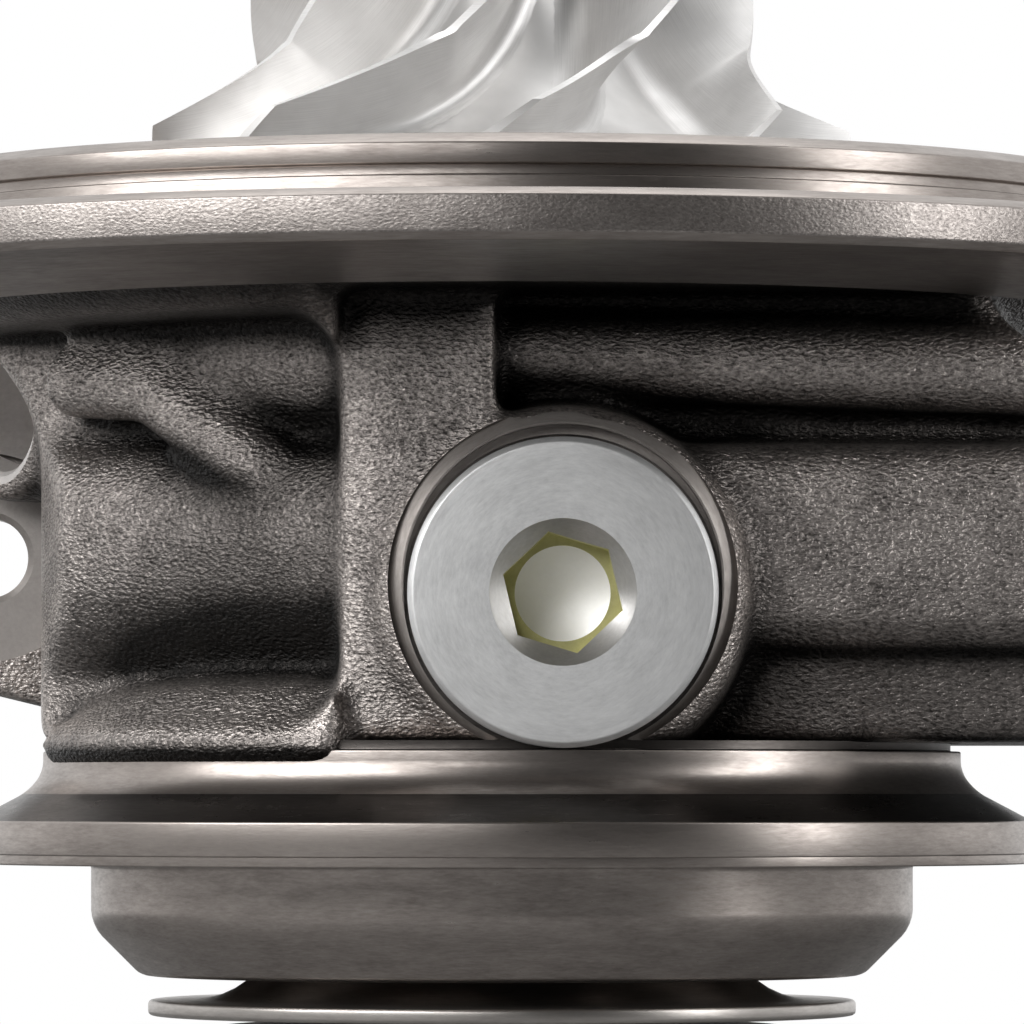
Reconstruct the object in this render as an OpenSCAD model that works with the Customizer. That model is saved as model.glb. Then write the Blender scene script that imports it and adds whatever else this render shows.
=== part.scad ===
// Turbo cartridge: a cast bearing housing with the rotor that spins in it.
// Z runs along the rotor with the compressor end up, and Z = 0 is the seat under the V-band flange.
// The core plug faces -Y, the oil drain +X, the oil inlet -X and the coolant ports +Y.

/* [Compressor flange] */
// Turbine seat to compressor cover seat
seat_to_seat = 48.7; // [47:0.1:54]
// Diameter of the compressor flange
flange_d = 116; // [112:0.5:124]
// Thickness of the compressor flange at its rim
flange_t = 3.85; // [3.2:0.05:5]
// Chamfers on the rim of the compressor flange
flange_chamfer = 0.6; // [0.3:0.1:1]
// Inner diameter of the turned underside of the flange
under_d = 93.2; // [90:0.2:98]
// Drop of the turned underside from the rim to its inner edge
under_drop = 2.3; // [1.5:0.1:3]
// Diameter of the spigot that locates the compressor cover
spigot_d = 96.4; // [93:0.2:102]
// Height of the spigot above the cover seat
spigot_h = 4.7; // [4.2:0.1:6]
// Chamfer round the top of the spigot
spigot_chamfer = 0.8; // [0.4:0.1:1.2]
// Width of the groove in the spigot
spigot_groove_w = 0.8; // [0.5:0.1:1.2]
// Depth of the groove in the spigot
spigot_groove_depth = 0.6; // [0.3:0.1:1]

/* [Turbine end] */
// Diameter of the V-band flange
vband_d = 82.7; // [80:0.1:88]
// Height of the V-band rim
vband_rim_h = 3.3; // [2.5:0.1:4]
// Height of the V-band cone above the rim
vband_cone_h = 2.2; // [1.6:0.1:2.6]
// Diameter of the neck above the V-band
neck_d = 71.6; // [69:0.2:75]
// Diameter of the spigot that enters the turbine housing
collar_d = 64.1; // [61:0.1:67]
// Straight length of the turbine spigot
collar_h = 4.8; // [4:0.1:6]
// Chamfer at the end of the turbine spigot
collar_chamfer = 3.9; // [3:0.1:4.4]
// Rim diameter of the heat shield
shield_d = 55.2; // [52:0.2:58]
// Sheet thickness of the heat shield
shield_t = 1.2; // [0.8:0.1:1.6]
// Depth of the heat shield's dish
shield_dish = 6.05; // [5.5:0.05:7]

/* [Casting] */
// Height of the casting's underside above the turbine seat
cast_bottom = 9.3; // [8.6:0.1:11]
// Distance from the rotor axis to the cast front face
front_y = 33.5; // [32.5:0.1:36]
// Half depth of the drain chamber's walls
chamber_y = 26.5; // [25:0.5:29]
// Radius of the barrel behind the drain chamber, which sets the height of the panel in front
barrel_r = 8.2; // [6.5:0.1:9]
// Height of the middle of that barrel and panel
barrel_z = 24.1; // [22:0.1:26]
// Height above the turbine seat of the hole in the bracket ear
ear_z = 24.2; // [22:0.1:27]
// Distance of the ear's hole from the rotor axis
ear_x = 41; // [40:0.1:44]
// Diameter of the ear's hole
ear_hole_d = 6.4; // [5:0.1:8.4]
// Radius of the ear round its hole
ear_r = 10.5; // [9:0.1:12]
// Thickness of the ear
ear_t = 7; // [5:0.5:10]

/* [Ports] */
// Distance from the rotor axis to the oil drain face
drain_x = 55; // [53:0.5:62]
// Height of the oil drain's centre line
drain_z = 23; // [22:0.5:25]
// Diameter of the oil drain
drain_d = 18; // [14:0.5:19]
// Spacing of the oil drain's two bolt holes
drain_spacing = 40; // [38:0.5:44]
// Diameter of the oil drain's tapped bolt holes
drain_bolt_d = 6.8; // [5:0.1:8.5]
// Thickness of the oil drain flange
drain_flange_t = 9; // [7:0.5:12]
// Diameter of the tapped oil inlet
inlet_d = 10.5; // [8.5:0.1:12.5]
// Depth of the tapped oil inlet
inlet_depth = 12; // [8:0.5:14]
// Height of the oil inlet's centre line under the cover seat
inlet_drop = 12.6; // [12:0.1:16]
// Diameter of the tapped coolant ports
coolant_d = 12.5; // [10.5:0.1:14.5]
// Spacing of the two coolant ports
coolant_spacing = 30; // [28:0.5:34]
// Distance from the rotor axis to the coolant port faces
coolant_y = 38; // [36:0.5:44]

/* [Core plug] */
// Diameter of the plug's head
plug_d = 23; // [21:0.1:25]
// Thickness of the plug's head
plug_head_t = 2.8; // [2:0.1:4]
// Thread diameter of the plug
plug_thread_d = 18; // [16:0.1:18.6]
// Length of the plug's thread
plug_thread_l = 11; // [8:0.5:12]
// Width across flats of the plug's hexagon socket
plug_hex = 8; // [6:0.5:10]
// Depth of the hexagon socket
plug_hex_depth = 7; // [5:0.5:8]
// Turn of the hexagon about the plug's own axis
plug_turn = 13.3; // [0:0.1:60]
// Sideways place of the plug
plug_x = 4.5; // [3:0.1:6]
// Height of the plug's centre line
plug_z = 20.3; // [19.8:0.1:22]
// Thickness of the plug's sealing washer
washer_t = 1.2; // [0.8:0.1:1.6]

/* [Shaft and bearings] */
// Diameter of the shaft in its journal bearings
journal_d = 9; // [8:0.1:9.6]
// Diameter of the shaft through the compressor wheel
stub_d = 6; // [5:0.1:6.4]
// Diameter of the shaft's seal boss
ring_boss_d = 17; // [16:0.1:18]
// Outer diameter of the journal bearings
bearing_d = 14.5; // [13.6:0.1:15]
// Length of each journal bearing
bearing_l = 9; // [7:0.1:9.4]
// Radial running clearance of the shaft in its bearings
journal_gap = 0.03; // [0.015:0.005:0.06]
// Radial running clearance of the bearings in the housing
film_gap = 0.05; // [0.02:0.005:0.08]
// Thickness of the thrust bearing
thrust_t = 4; // [3:0.1:5]
// Diameter of the thrust bearing
thrust_d = 43.6; // [41:0.2:45]
// Diameter of the thrust collar's flange
collar_flange_d = 21; // [18:0.2:22]
// Diameter of the seal plate
plate_d = 48; // [47:0.2:52]
// Thickness of the seal plate
plate_t = 5; // [4.4:0.1:5.6]
// Diameter of the seal sleeve in the seal plate
sleeve_d = 14; // [13:0.1:15]

/* [Compressor wheel] */
// Exducer diameter
cw_exducer_d = 55; // [53:0.5:58]
// Inducer diameter
cw_inducer_d = 39.4; // [37:0.2:42]
// Blade height at the exducer
cw_tip_h = 4.1; // [3:0.1:5]
// Height of the leading edges above the hub's rim
cw_length = 19.6; // [18:0.1:22]
// Hub diameter at the leading edges
cw_hub_d = 13.6; // [12.4:0.1:15]
// Number of blades
cw_blades = 8; // [6:1:10]
// Turn of the blade tips from exducer to inducer, in degrees
cw_wrap = 56; // [45:1:65]
// Lean of the exducer edges over the hub, in degrees
cw_lean = 12; // [6:1:16]
// Blade thickness at the tip
cw_tip_t = 0.6; // [0.4:0.05:0.9]
// Blade thickness at the root
cw_root_t = 1.3; // [1:0.05:1.8]
// Turn of the first blade, in degrees
cw_turn = -84.4; // [-180:0.1:180]

/* [Turbine wheel] */
// Diameter of the turbine wheel
tw_d = 44; // [41:0.5:47]
// Diameter of the exducer
tw_exducer_d = 38.4; // [36:0.2:40]
// Length from the back of the wheel to the exducer
tw_length = 21; // [19:0.5:24]
// Blade height at the inlet
tw_tip_h = 6; // [5:0.1:7.5]
// Hub diameter at the exducer
tw_hub_d = 11; // [9:0.1:13]
// Number of blades
tw_blades = 11; // [9:1:12]
// Turn of the blade tips at the exducer, in degrees
tw_wrap = 40; // [30:1:48]
// Blade thickness at the tip
tw_tip_t = 0.9; // [0.6:0.05:1.2]
// Blade thickness at the root
tw_root_t = 1.9; // [1.4:0.05:2.4]

/* [Hidden] */
$fn = 96;

// Clearances: a sliding seat, a spinning part beside a still one, and a thin cut past a face
slide_gap = 0.02;
spin_gap = 0.3;
thrust_gap = 0.05;
over = 0.1;

// Compressor flange levels, from the rim down to the inner edge of the turned underside
face_z = seat_to_seat + spigot_h;
flange_bottom = seat_to_seat - flange_t;
under_z = flange_bottom - under_drop;
flange_r = flange_d / 2;
under_r = under_d / 2;
spigot_r = spigot_d / 2;
spigot_groove_z = seat_to_seat + (spigot_h - spigot_chamfer - spigot_groove_w) / 2;
under_step = 1;
flare_r = under_r - 1.4;
flare_drop = 6;

// Turbine end
vband_r = vband_d / 2;
vband_step = 0.3;
vband_step_h = 0.75;
vband_top = vband_rim_h + vband_cone_h;
neck_r = neck_d / 2;
neck_fillet = 1.5;
collar_r = collar_d / 2;
collar_end = -collar_h - collar_chamfer;
shield_gap = 1.9;
shield_top = collar_end - shield_gap;
shield_seat_z = shield_top + shield_dish - shield_t;
shield_seat_r = 15;
shield_rim_in = 21.7;
shield_crown_r = 16;
nose_r = 10.4;
nose_end = shield_seat_z - 2.5;
hollow_r = 24;
hollow_z = -3;
nose_bore_r = ring_boss_d / 2 + spin_gap;
slinger_r = 12;
seal_bore_l = 6.6;
slinger_h = 6;
slinger_z = nose_end + seal_bore_l + slinger_h;

// Compressor side stack, from the wheel's recess down to the thrust collar's cavity
recess_r = cw_exducer_d / 2 + 0.7;
recess_z = face_z - 2.5;
clip_t = 1.2;
clip_room = 0.1;
clip_depth = 1.4;
clip_cover = 0.8;
plate_r = plate_d / 2;
plate_top = recess_z - clip_cover - clip_t;
plate_z = plate_top - plate_t;
deflector_h = 3.9;
thrust_top = plate_z - deflector_h;
thrust_z = thrust_top - thrust_t;
thrust_r = thrust_d / 2;
cavity_r = collar_flange_d / 2 + 1.5;
cavity_z = thrust_z - 3;
collar_flange_t = 2.2;
collar_z = thrust_z - thrust_gap - collar_flange_t;
collar_top = thrust_top + thrust_gap;
neck_collar_r = 6.3;
sleeve_r = sleeve_d / 2;
sleeve_top = recess_z - 0.3;
sleeve_flange_t = 1.9;
plate_bore_r = sleeve_r + spin_gap;
o_ring_d = 1.76;
o_ring_groove_r = plate_r - o_ring_d - slide_gap;
o_ring_groove_w = 2.4;
o_ring_z = plate_z + plate_t / 2;
pin_r = 1.25;
pin_ring_r = 17;
pin_depth = 3;

// Journal bearings and the circlips that hold them
bearing_r = bearing_d / 2;
journal_r = journal_d / 2;
bore_r = bearing_r + film_gap;
bearing_clip_t = 1.1;
bearing_clip_depth = 0.9;
bearing_play = 0.3;
c_bearing_top = cavity_z - bearing_play;
c_bearing_z = c_bearing_top - bearing_l;
c_clip_z = c_bearing_z - bearing_play - bearing_clip_t;
t_outer_clip_z = slinger_z + 0.6;
t_bearing_z = t_outer_clip_z + bearing_clip_t + bearing_play;
t_bearing_top = t_bearing_z + bearing_l;
t_inner_clip_z = t_bearing_top + bearing_play;
relief_r = bore_r + 1.7;
relief_z = t_inner_clip_z + bearing_clip_t + 0.9;
relief_top = c_clip_z - 0.9;

// Seal rings at each end
c_ring_t = 1;
c_ring_w = 1.2;
c_ring_z = plate_z + plate_t / 2;
t_ring_t = 1.4;
t_ring_w = 1.2;
t_ring_z = nose_end + seal_bore_l / 2 - t_ring_t / 2;
ring_gap = 3;

// Shaft
stub_r = stub_d / 2;
ring_boss_r = ring_boss_d / 2;
boss_top = slinger_z - slinger_h + 1;
tw_back = shield_top - shield_t - 0.85;
weld_z = tw_back + 1.5;
cw_nose_z = face_z + cw_length + 2.4;
nut_flat = 10;
nut_h = 6;
nut_flange_h = 1.5;
shaft_top = cw_nose_z + nut_h + 2;

// Plug
plug_r = plug_d / 2;
plug_seat_y = front_y - 1.5;
plug_spot_r = plug_r + 0.6;
plug_ring_r = plug_spot_r + 1.1;
plug_ring_y = front_y + 0.8;
plug_head_y = plug_seat_y + washer_t;
plug_face_y = plug_head_y + plug_head_t;
plug_thread_r = plug_thread_d / 2;
plug_spot_l = 10;
plug_chamfer = 0.4;
plug_mouth = 1;
plug_cone_h = 1.5;
plug_cone_edge = 0.2;
plug_cone_r = plug_hex / 2 - plug_cone_edge;
washer_edge = 0.3;
washer_gap = 0.1;

// Casting
chamber_end = drain_x - drain_flange_t;
ridge_r = 3.9;
ridge_y = chamber_y + 1.1;
slope_x = 36.7;
slope_w = 4.5;
chamber_top = drain_z + drain_d / 2 + 5;
chamber_bevel = 6;
chamber_x = -6.3;
panel_y = chamber_y + 4.4;
panel_h = 2 * barrel_r - 0.7;
panel_z = barrel_z - panel_h / 2;
panel_corner = 3;
end_room = 10;
end_side = 4;
flange_wall = 5;
boss_foot = 4;
boss_edge = 1.2;
boss_step = 3;
ridge_z = under_z - 4.2;
column_x = -12.1;
column_w = 11.6;
front_rise = 0.45;
pocket_angle = 40;
pocket_depth = 7.6;
pocket_inset = 0.3;
pocket_floor = neck_r - pocket_depth;
pocket_panel_y = pocket_floor + 2.4;
pocket_panel_z = cast_bottom + 4.9;
pocket_panel_h = 17.6;
pocket_panel_l = 36.5;
pocket_panel_x = -24;
pocket_bottom = cast_bottom + 1;
pocket_top = under_z - flare_drop / 2;
pocket_corner = 4;
pad_bottom = cast_bottom - 1.9;
pad_edge = pocket_bottom - 0.7;
pad_top = pocket_bottom + 2.9;
pad_inner = 6;
pad_shelf = 1.5;
pad_proud = 0.4;
pad_start = 189;
pad_sweep = 61;
rib_r = 4.2;
rib_proud = 2.2;
rib_from = [-19, 41.7];
rib_to = [5.8, 27.4];
riser_r = 5;
riser_x = relief_r + 7;
bolt_depth = 14;
drilling_r = 1.2;
drilling_y = 2;
drilling_lap = 2;
drilling_drop = 2;
drilling_reach = 5;
slinger_cone = 1;
inlet_z = seat_to_seat - inlet_drop;
inlet_angle = 57;
inlet_boss_r = inlet_d / 2 + 2.4;
inlet_face = [-39.5, 6, inlet_z];
inlet_spot_r = inlet_d / 2 + 1.05;
inlet_spot_l = 10;
inlet_boss_l = 24;
coolant_boss_r = coolant_d / 2 + 4;
coolant_depth = 13;
coolant_z = 22;
coolant_web = 3;
coolant_step = 4;
ear_y = 12;
ear_lean = 15;
ear_root = ear_x - neck_r + 12;

// A rod between two points
module rod(p, q, r) {
    v = q - p;
    translate(p)
        rotate([0, acos(v[2] / norm(v)), atan2(v[1], v[0])])
            cylinder(h = norm(v), r = r);
}

// A ring between two radii
module ring(r_in, r_out, z, h) {
    translate([0, 0, z])
        rotate_extrude()
            translate([r_in, 0])
                square([r_out - r_in, h]);
}

// A split ring whose gap faces +X
module split_ring(r_in, r_out, z, h, gap) {
    translate([0, 0, z])
        rotate([0, 0, gap / 2])
            rotate_extrude(angle = 360 - gap)
                translate([r_in, 0])
                    square([r_out - r_in, h]);
}

// A rectangle with round corners, from its lower left corner
module round_rect(size, r) {
    translate([r, 0])
        square([size[0] - 2 * r, size[1]]);
    translate([0, r])
        square([size[0], size[1] - 2 * r]);
    for (x = [r, size[0] - r], y = [r, size[1] - r])
        translate([x, y])
            circle(r);
}

// Outline of a flange: a middle circle joined to two ear circles by tangent lines
module eared_outline(r_mid, r_ear, offset_x) {
    a = acos((r_mid - r_ear) / offset_x);
    circle(r_mid);
    for (side = [-1, 1]) {
        translate([side * offset_x, 0])
            circle(r_ear);
        polygon([
            [0, r_mid * 0.5],
            [side * r_mid * cos(a), r_mid * sin(a)],
            [side * (offset_x + r_ear * cos(a)), r_ear * sin(a)],
            [side * (offset_x + r_ear * cos(a)), -r_ear * sin(a)],
            [side * r_mid * cos(a), -r_mid * sin(a)],
            [0, -r_mid * 0.5]
        ]);
    }
}

// A list of blade sections, from the higher end to the lower, as one closed skin: each section is
// [hub point, tip point], each point is [radius, height, angle], and the root is sunk into the hub
module blade(sections, t_root, t_tip, sink) {
    n = len(sections) - 1;
    k = 3;
    function along(a, b, v) = a + (b - a) * v;
    function root(s) = let (d = [s[0][0] - s[1][0], s[0][1] - s[1][1]], u = d / norm(d))
        [s[0][0] + sink * u[0], s[0][1] + sink * u[1], s[0][2]];
    mid = [for (s = sections) [for (j = [0:k]) along(root(s), s[1], j / k)]];
    function slant(i, j) = let (
        a = mid[max(i - 1, 0)][j],
        b = mid[min(i + 1, n)][j],
        run = norm([b[0] - a[0], b[1] - a[1]]),
        turn = mid[i][j][0] * (b[2] - a[2]) * PI / 180) run / norm([run, turn]);
    function half(i, j) = along(t_root, t_tip, j / k) / 2 / slant(i, j) / mid[i][j][0] * 180 / PI;
    function place(p, turn) = [p[0] * cos(p[2] + turn), p[0] * sin(p[2] + turn), p[1]];
    points = [for (side = [-1, 1], i = [0:n], j = [0:k]) place(mid[i][j], side * half(i, j))];
    m = (n + 1) * (k + 1);
    function at(side, i, j) = side * m + i * (k + 1) + j;
    function quad(a, b, c, d) = [[a, b, c], [a, c, d]];
    faces = [
        for (i = [0:n - 1], j = [0:k - 1])
            each quad(at(0, i, j), at(0, i, j + 1), at(0, i + 1, j + 1), at(0, i + 1, j)),
        for (i = [0:n - 1], j = [0:k - 1])
            each quad(at(1, i, j), at(1, i + 1, j), at(1, i + 1, j + 1), at(1, i, j + 1)),
        for (i = [0:n - 1]) each quad(at(0, i, 0), at(0, i + 1, 0), at(1, i + 1, 0), at(1, i, 0)),
        for (i = [0:n - 1]) each quad(at(0, i, k), at(1, i, k), at(1, i + 1, k), at(0, i + 1, k)),
        for (j = [0:k - 1]) each quad(at(0, 0, j), at(1, 0, j), at(1, 0, j + 1), at(0, 0, j + 1)),
        for (j = [0:k - 1]) each quad(at(0, n, j), at(0, n, j + 1), at(1, n, j + 1), at(1, n, j))
    ];
    polyhedron(points, faces);
}

// Turned outside of the housing, from the nose up to the compressor face
module housing_turning() {
    arc = [for (a = [0:15:60]) [
        neck_r + neck_fillet * (1 - sin(a)),
        vband_top + neck_fillet * (1 - cos(a)) * 0.6 + neck_fillet * sin(a) * 0.5]];
    rotate_extrude()
        polygon(concat([
            [0, nose_end],
            [nose_r, nose_end],
            [nose_r, shield_seat_z],
            [shield_seat_r, shield_seat_z],
            [shield_seat_r, hollow_z],
            [hollow_r, hollow_z],
            [hollow_r, collar_end],
            [collar_r - collar_chamfer, collar_end],
            [collar_r, -collar_h],
            [collar_r, 0],
            [vband_r - vband_step, 0],
            [vband_r - vband_step, vband_step_h],
            [vband_r, vband_step_h],
            [vband_r, vband_rim_h]], arc, [
            [neck_r, vband_top + neck_fillet],
            [neck_r, under_z - flare_drop],
            [flare_r, under_z + under_step],
            [under_r, under_z],
            [flange_r - flange_chamfer, flange_bottom],
            [flange_r, flange_bottom + flange_chamfer],
            [flange_r, seat_to_seat - flange_chamfer],
            [flange_r - 2 * flange_chamfer, seat_to_seat],
            [spigot_r, seat_to_seat],
            [spigot_r, spigot_groove_z],
            [spigot_r - spigot_groove_depth, spigot_groove_z],
            [spigot_r - spigot_groove_depth, spigot_groove_z + spigot_groove_w],
            [spigot_r, spigot_groove_z + spigot_groove_w],
            [spigot_r, face_z - spigot_chamfer],
            [spigot_r - 2 * spigot_chamfer, face_z],
            [0, face_z]]));
}

// Drain chamber: a wall profile with a raised panel, a rear barrel and a ridge, sloped off at its end
module drain_chamber() {
    difference() {
        translate([chamber_x, 0, 0])
            rotate([90, 0, 90])
                linear_extrude(chamber_end - chamber_x + over) {
                    polygon([
                        [-chamber_y, cast_bottom],
                        [chamber_y - chamber_bevel, cast_bottom],
                        [chamber_y, cast_bottom + chamber_bevel],
                        [chamber_y, under_z],
                        [-ridge_y, under_z],
                        [-ridge_y, ridge_z],
                        [-chamber_y, ridge_z - ridge_r]
                    ]);
                    translate([-panel_y, panel_z])
                        round_rect([panel_y, panel_h], panel_corner);
                    translate([-ridge_y, ridge_z])
                        circle(ridge_r);
                    translate([chamber_y - barrel_r / 2, barrel_z])
                        circle(barrel_r);
                }
        translate([0, chamber_y + end_room, 0])
            rotate([90, 0, 0])
                linear_extrude(2 * (chamber_y + end_room))
                    polygon([
                        [slope_x, under_z + over],
                        [slope_x, under_z],
                        [slope_x + slope_w, chamber_top],
                        [chamber_end + 1, chamber_top],
                        [chamber_end + 1, under_z + over]
                    ]);
        for (side = [-1, 1])
            linear_extrude(under_z + over)
                polygon([
                    [slope_x, side * (chamber_y + end_room)],
                    [slope_x + slope_w, side * (chamber_y + end_side)],
                    [chamber_end + 1, side * (drain_spacing / 2 + end_side)],
                    [chamber_end + 1, side * (chamber_y + end_room)]
                ]);
    }
}

module drain_flange() {
    translate([chamber_end, 0, drain_z])
        rotate([90, 0, 90])
            linear_extrude(drain_flange_t)
                eared_outline(drain_d / 2 + flange_wall, drain_bolt_d / 2 + flange_wall, drain_spacing / 2);
}

// Front of the casting: a column beside the pocket, and the plug's boss, level at the underside
module plug_boss() {
    translate([column_x, -front_y, cast_bottom])
        cube([column_w, front_y, under_z - cast_bottom]);
    intersection() {
        translate([plug_x, 0, plug_z])
            rotate([90, 0, 0]) {
                cylinder(h = front_y, r1 = plug_ring_r + boss_foot, r2 = plug_ring_r + boss_edge);
                cylinder(h = plug_ring_y, r = plug_ring_r);
            }
        translate([-flange_r, -flange_r, cast_bottom])
            cube([flange_d, flange_r, under_z - cast_bottom]);
    }
    translate([column_x, -front_y + boss_step, cast_bottom])
        cube([plug_x - column_x + plug_r / 2, front_y - boss_step, plug_z - cast_bottom]);
}

// Lip under the pocket, proud of the neck, with a sloped shelf
module pocket_pad() {
    rotate([0, 0, pad_start])
        rotate_extrude(angle = pad_sweep)
            polygon([
                [neck_r - pad_inner, pad_bottom],
                [neck_r + pad_proud, pad_bottom],
                [neck_r + pad_proud, pad_edge],
                [neck_r - pad_inner + pad_shelf, pad_top],
                [neck_r - pad_inner, pad_top]
            ]);
}

// Cut into the barrel left of the column, drawn from the front, with a floor that faces forward and left
module pocket() {
    intersection() {
        translate([column_x - neck_r, 0, pocket_bottom])
            rotate([90, 0, 0])
                linear_extrude(flange_r)
                    round_rect([neck_r, pocket_top - pocket_bottom], pocket_corner);
        rotate([0, 0, -pocket_angle])
            translate([-flange_r, -pocket_floor - flange_r, 0])
                cube([2 * flange_r, flange_r, seat_to_seat]);
    }
}

// Panel across the pocket's floor, and the ridge that runs down to it
module pocket_forms() {
    y = -pocket_floor + rib_r - rib_proud;
    intersection() {
        cylinder(h = seat_to_seat, r = neck_r - pocket_inset);
        rotate([0, 0, -pocket_angle]) {
            rod([rib_from[0], y, rib_from[1]], [rib_to[0], y, rib_to[1]], rib_r);
            translate([pocket_panel_x, 0, 0])
                rotate([90, 0, 90])
                    linear_extrude(pocket_panel_l)
                        translate([-pocket_panel_y, pocket_panel_z])
                            round_rect([pocket_floor / 2, pocket_panel_h], panel_corner);
        }
    }
}

// Room cut in front of the column and of the drain chamber, under the flange
module front_cut() {
    intersection() {
        cylinder(h = seat_to_seat, r = flare_r);
        union() {
            translate([column_x, -flange_r, cast_bottom])
                cube([flange_d, flange_r - front_y, under_z + front_rise - cast_bottom]);
            translate([column_x + column_w, -flange_r, cast_bottom])
                cube([flange_d, flange_r - chamber_y, under_z + front_rise - cast_bottom]);
        }
    }
}

module bracket_ear() {
    translate([-ear_x, ear_y + ear_t, ear_z])
        rotate([90, 0, 0])
            linear_extrude(ear_t) {
                circle(ear_r);
                polygon([
                    [-ear_r * sin(ear_lean), -ear_r * cos(ear_lean)],
                    [ear_root, -ear_r * cos(ear_lean) - ear_root * tan(ear_lean)],
                    [ear_root, ear_r],
                    [0, ear_r]
                ]);
            }
}

// Direction that the oil inlet faces, and points along its centre line
inlet_dir = [-sin(inlet_angle), -cos(inlet_angle), 0];

module inlet_boss() {
    rod(inlet_face - inlet_boss_l * inlet_dir, inlet_face, inlet_boss_r);
}

module coolant_bosses() {
    for (side = [-1, 1])
        translate([side * coolant_spacing / 2, 0, coolant_z])
            rotate([-90, 0, 0])
                cylinder(h = coolant_y, r = coolant_boss_r);
    translate([-coolant_spacing / 2, 0, coolant_z - coolant_boss_r + coolant_web])
        cube([coolant_spacing, coolant_y - coolant_step, 2 * (coolant_boss_r - coolant_web)]);
}

// Everything that is bored round the rotor axis
module rotor_bores() {
    ring(0, recess_r, recess_z, face_z - recess_z + over);
    ring(0, plate_r + slide_gap, plate_z, recess_z - plate_z + over);
    ring(0, plate_r + clip_depth, plate_top, clip_t + clip_room);
    ring(0, thrust_r + slide_gap, thrust_z, plate_z - thrust_z + over);
    ring(0, cavity_r, cavity_z, thrust_z - cavity_z + over);
    ring(0, bore_r, slinger_z - over, cavity_z - slinger_z + 2 * over);
    for (z = [c_clip_z, t_inner_clip_z, t_outer_clip_z])
        ring(0, bore_r + bearing_clip_depth, z - clip_room, bearing_clip_t + 2 * clip_room);
    ring(0, relief_r, relief_z, relief_top - relief_z);
    rotate_extrude()
        polygon([
            [0, slinger_z - slinger_h - slinger_cone],
            [nose_bore_r, slinger_z - slinger_h - slinger_cone],
            [slinger_r, slinger_z - slinger_h + slinger_cone],
            [slinger_r, slinger_z],
            [0, slinger_z]
        ]);
    ring(0, nose_bore_r, nose_end - over, seal_bore_l);
    for (side = [-1, 1])
        translate([0, side * pin_ring_r, thrust_z - pin_depth])
            cylinder(h = pin_depth + over, r = pin_r + slide_gap);
}

// Oil passages: the drain, its bolt holes, the inlet with its spot face, and the drillings to both bearings
module oil_passages() {
    translate([relief_r - 1, 0, drain_z])
        rotate([0, 90, 0])
            cylinder(h = drain_x, r = drain_d / 2);
    translate([riser_x, 0, drain_z])
        cylinder(h = thrust_z + 1 - drain_z, r = riser_r);
    for (side = [-1, 1])
        translate([drain_x - bolt_depth, side * drain_spacing / 2, drain_z])
            rotate([0, 90, 0])
                cylinder(h = bolt_depth + over, r = drain_bolt_d / 2);
    rod(inlet_face - inlet_depth * inlet_dir, inlet_face + inlet_dir, inlet_d / 2);
    rod(inlet_face, inlet_face + inlet_spot_l * inlet_dir, inlet_spot_r);
    rod(inlet_face - (inlet_depth - drilling_lap) * inlet_dir,
        [-bore_r, drilling_y, c_bearing_z + bearing_l / 2], drilling_r);
    rod(inlet_face - (inlet_depth + drilling_reach) * inlet_dir - [0, 0, drilling_drop],
        [-bore_r, drilling_y, t_bearing_z + bearing_l / 2], drilling_r);
}

module port_holes() {
    for (side = [-1, 1])
        translate([side * coolant_spacing / 2, coolant_y - coolant_depth, coolant_z])
            rotate([-90, 0, 0])
                cylinder(h = coolant_depth + over, r = coolant_d / 2);
    translate([-ear_x, ear_y - over, ear_z])
        rotate([-90, 0, 0])
            cylinder(h = ear_t + 2 * over, r = ear_hole_d / 2);
    translate([plug_x, 0, plug_z])
        rotate([90, 0, 0]) {
            translate([0, 0, plug_seat_y])
                cylinder(h = plug_spot_l, r = plug_spot_r);
            translate([0, 0, plug_seat_y - plug_thread_l - 1])
                cylinder(h = plug_thread_l + 1 + over, r = plug_thread_r + slide_gap);
        }
}

module bearing_housing() {
    color("dimgray")
        difference() {
            union() {
                difference() {
                    housing_turning();
                    pocket();
                    front_cut();
                }
                pocket_pad();
                pocket_forms();
                drain_chamber();
                drain_flange();
                plug_boss();
                bracket_ear();
                inlet_boss();
                coolant_bosses();
            }
            rotor_bores();
            oil_passages();
            port_holes();
        }
}

// Headed plug with a hexagon socket, a countersunk mouth and a drilled bottom
module core_plug() {
    hex_r = plug_hex / 2 / cos(30);
    color("silver")
        translate([plug_x, 0, plug_z])
            rotate([90, 0, 0])
                difference() {
                    union() {
                        translate([0, 0, plug_seat_y - plug_thread_l])
                            cylinder(h = plug_thread_l + washer_t, r = plug_thread_r);
                        translate([0, 0, plug_head_y])
                            cylinder(h = plug_head_t - plug_chamfer, r = plug_r);
                        translate([0, 0, plug_face_y - plug_chamfer])
                            cylinder(h = plug_chamfer, r1 = plug_r, r2 = plug_r - plug_chamfer);
                    }
                    translate([0, 0, plug_face_y - plug_hex_depth])
                        rotate([0, 0, plug_turn])
                            cylinder(h = plug_hex_depth + over, r = hex_r, $fn = 6);
                    translate([0, 0, plug_face_y - plug_mouth])
                        cylinder(h = plug_mouth + over, r1 = plug_hex / 2, r2 = hex_r + plug_mouth);
                    translate([0, 0, plug_face_y - plug_hex_depth - plug_cone_h])
                        cylinder(h = plug_cone_h + over, r1 = plug_cone_edge, r2 = plug_cone_r);
                }
}

module core_plug_washer() {
    color("peru")
        translate([plug_x, 0, plug_z])
            rotate([90, 0, 0])
                ring(plug_thread_r + washer_gap, plug_r - washer_edge, plug_seat_y, washer_t);
}

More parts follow.
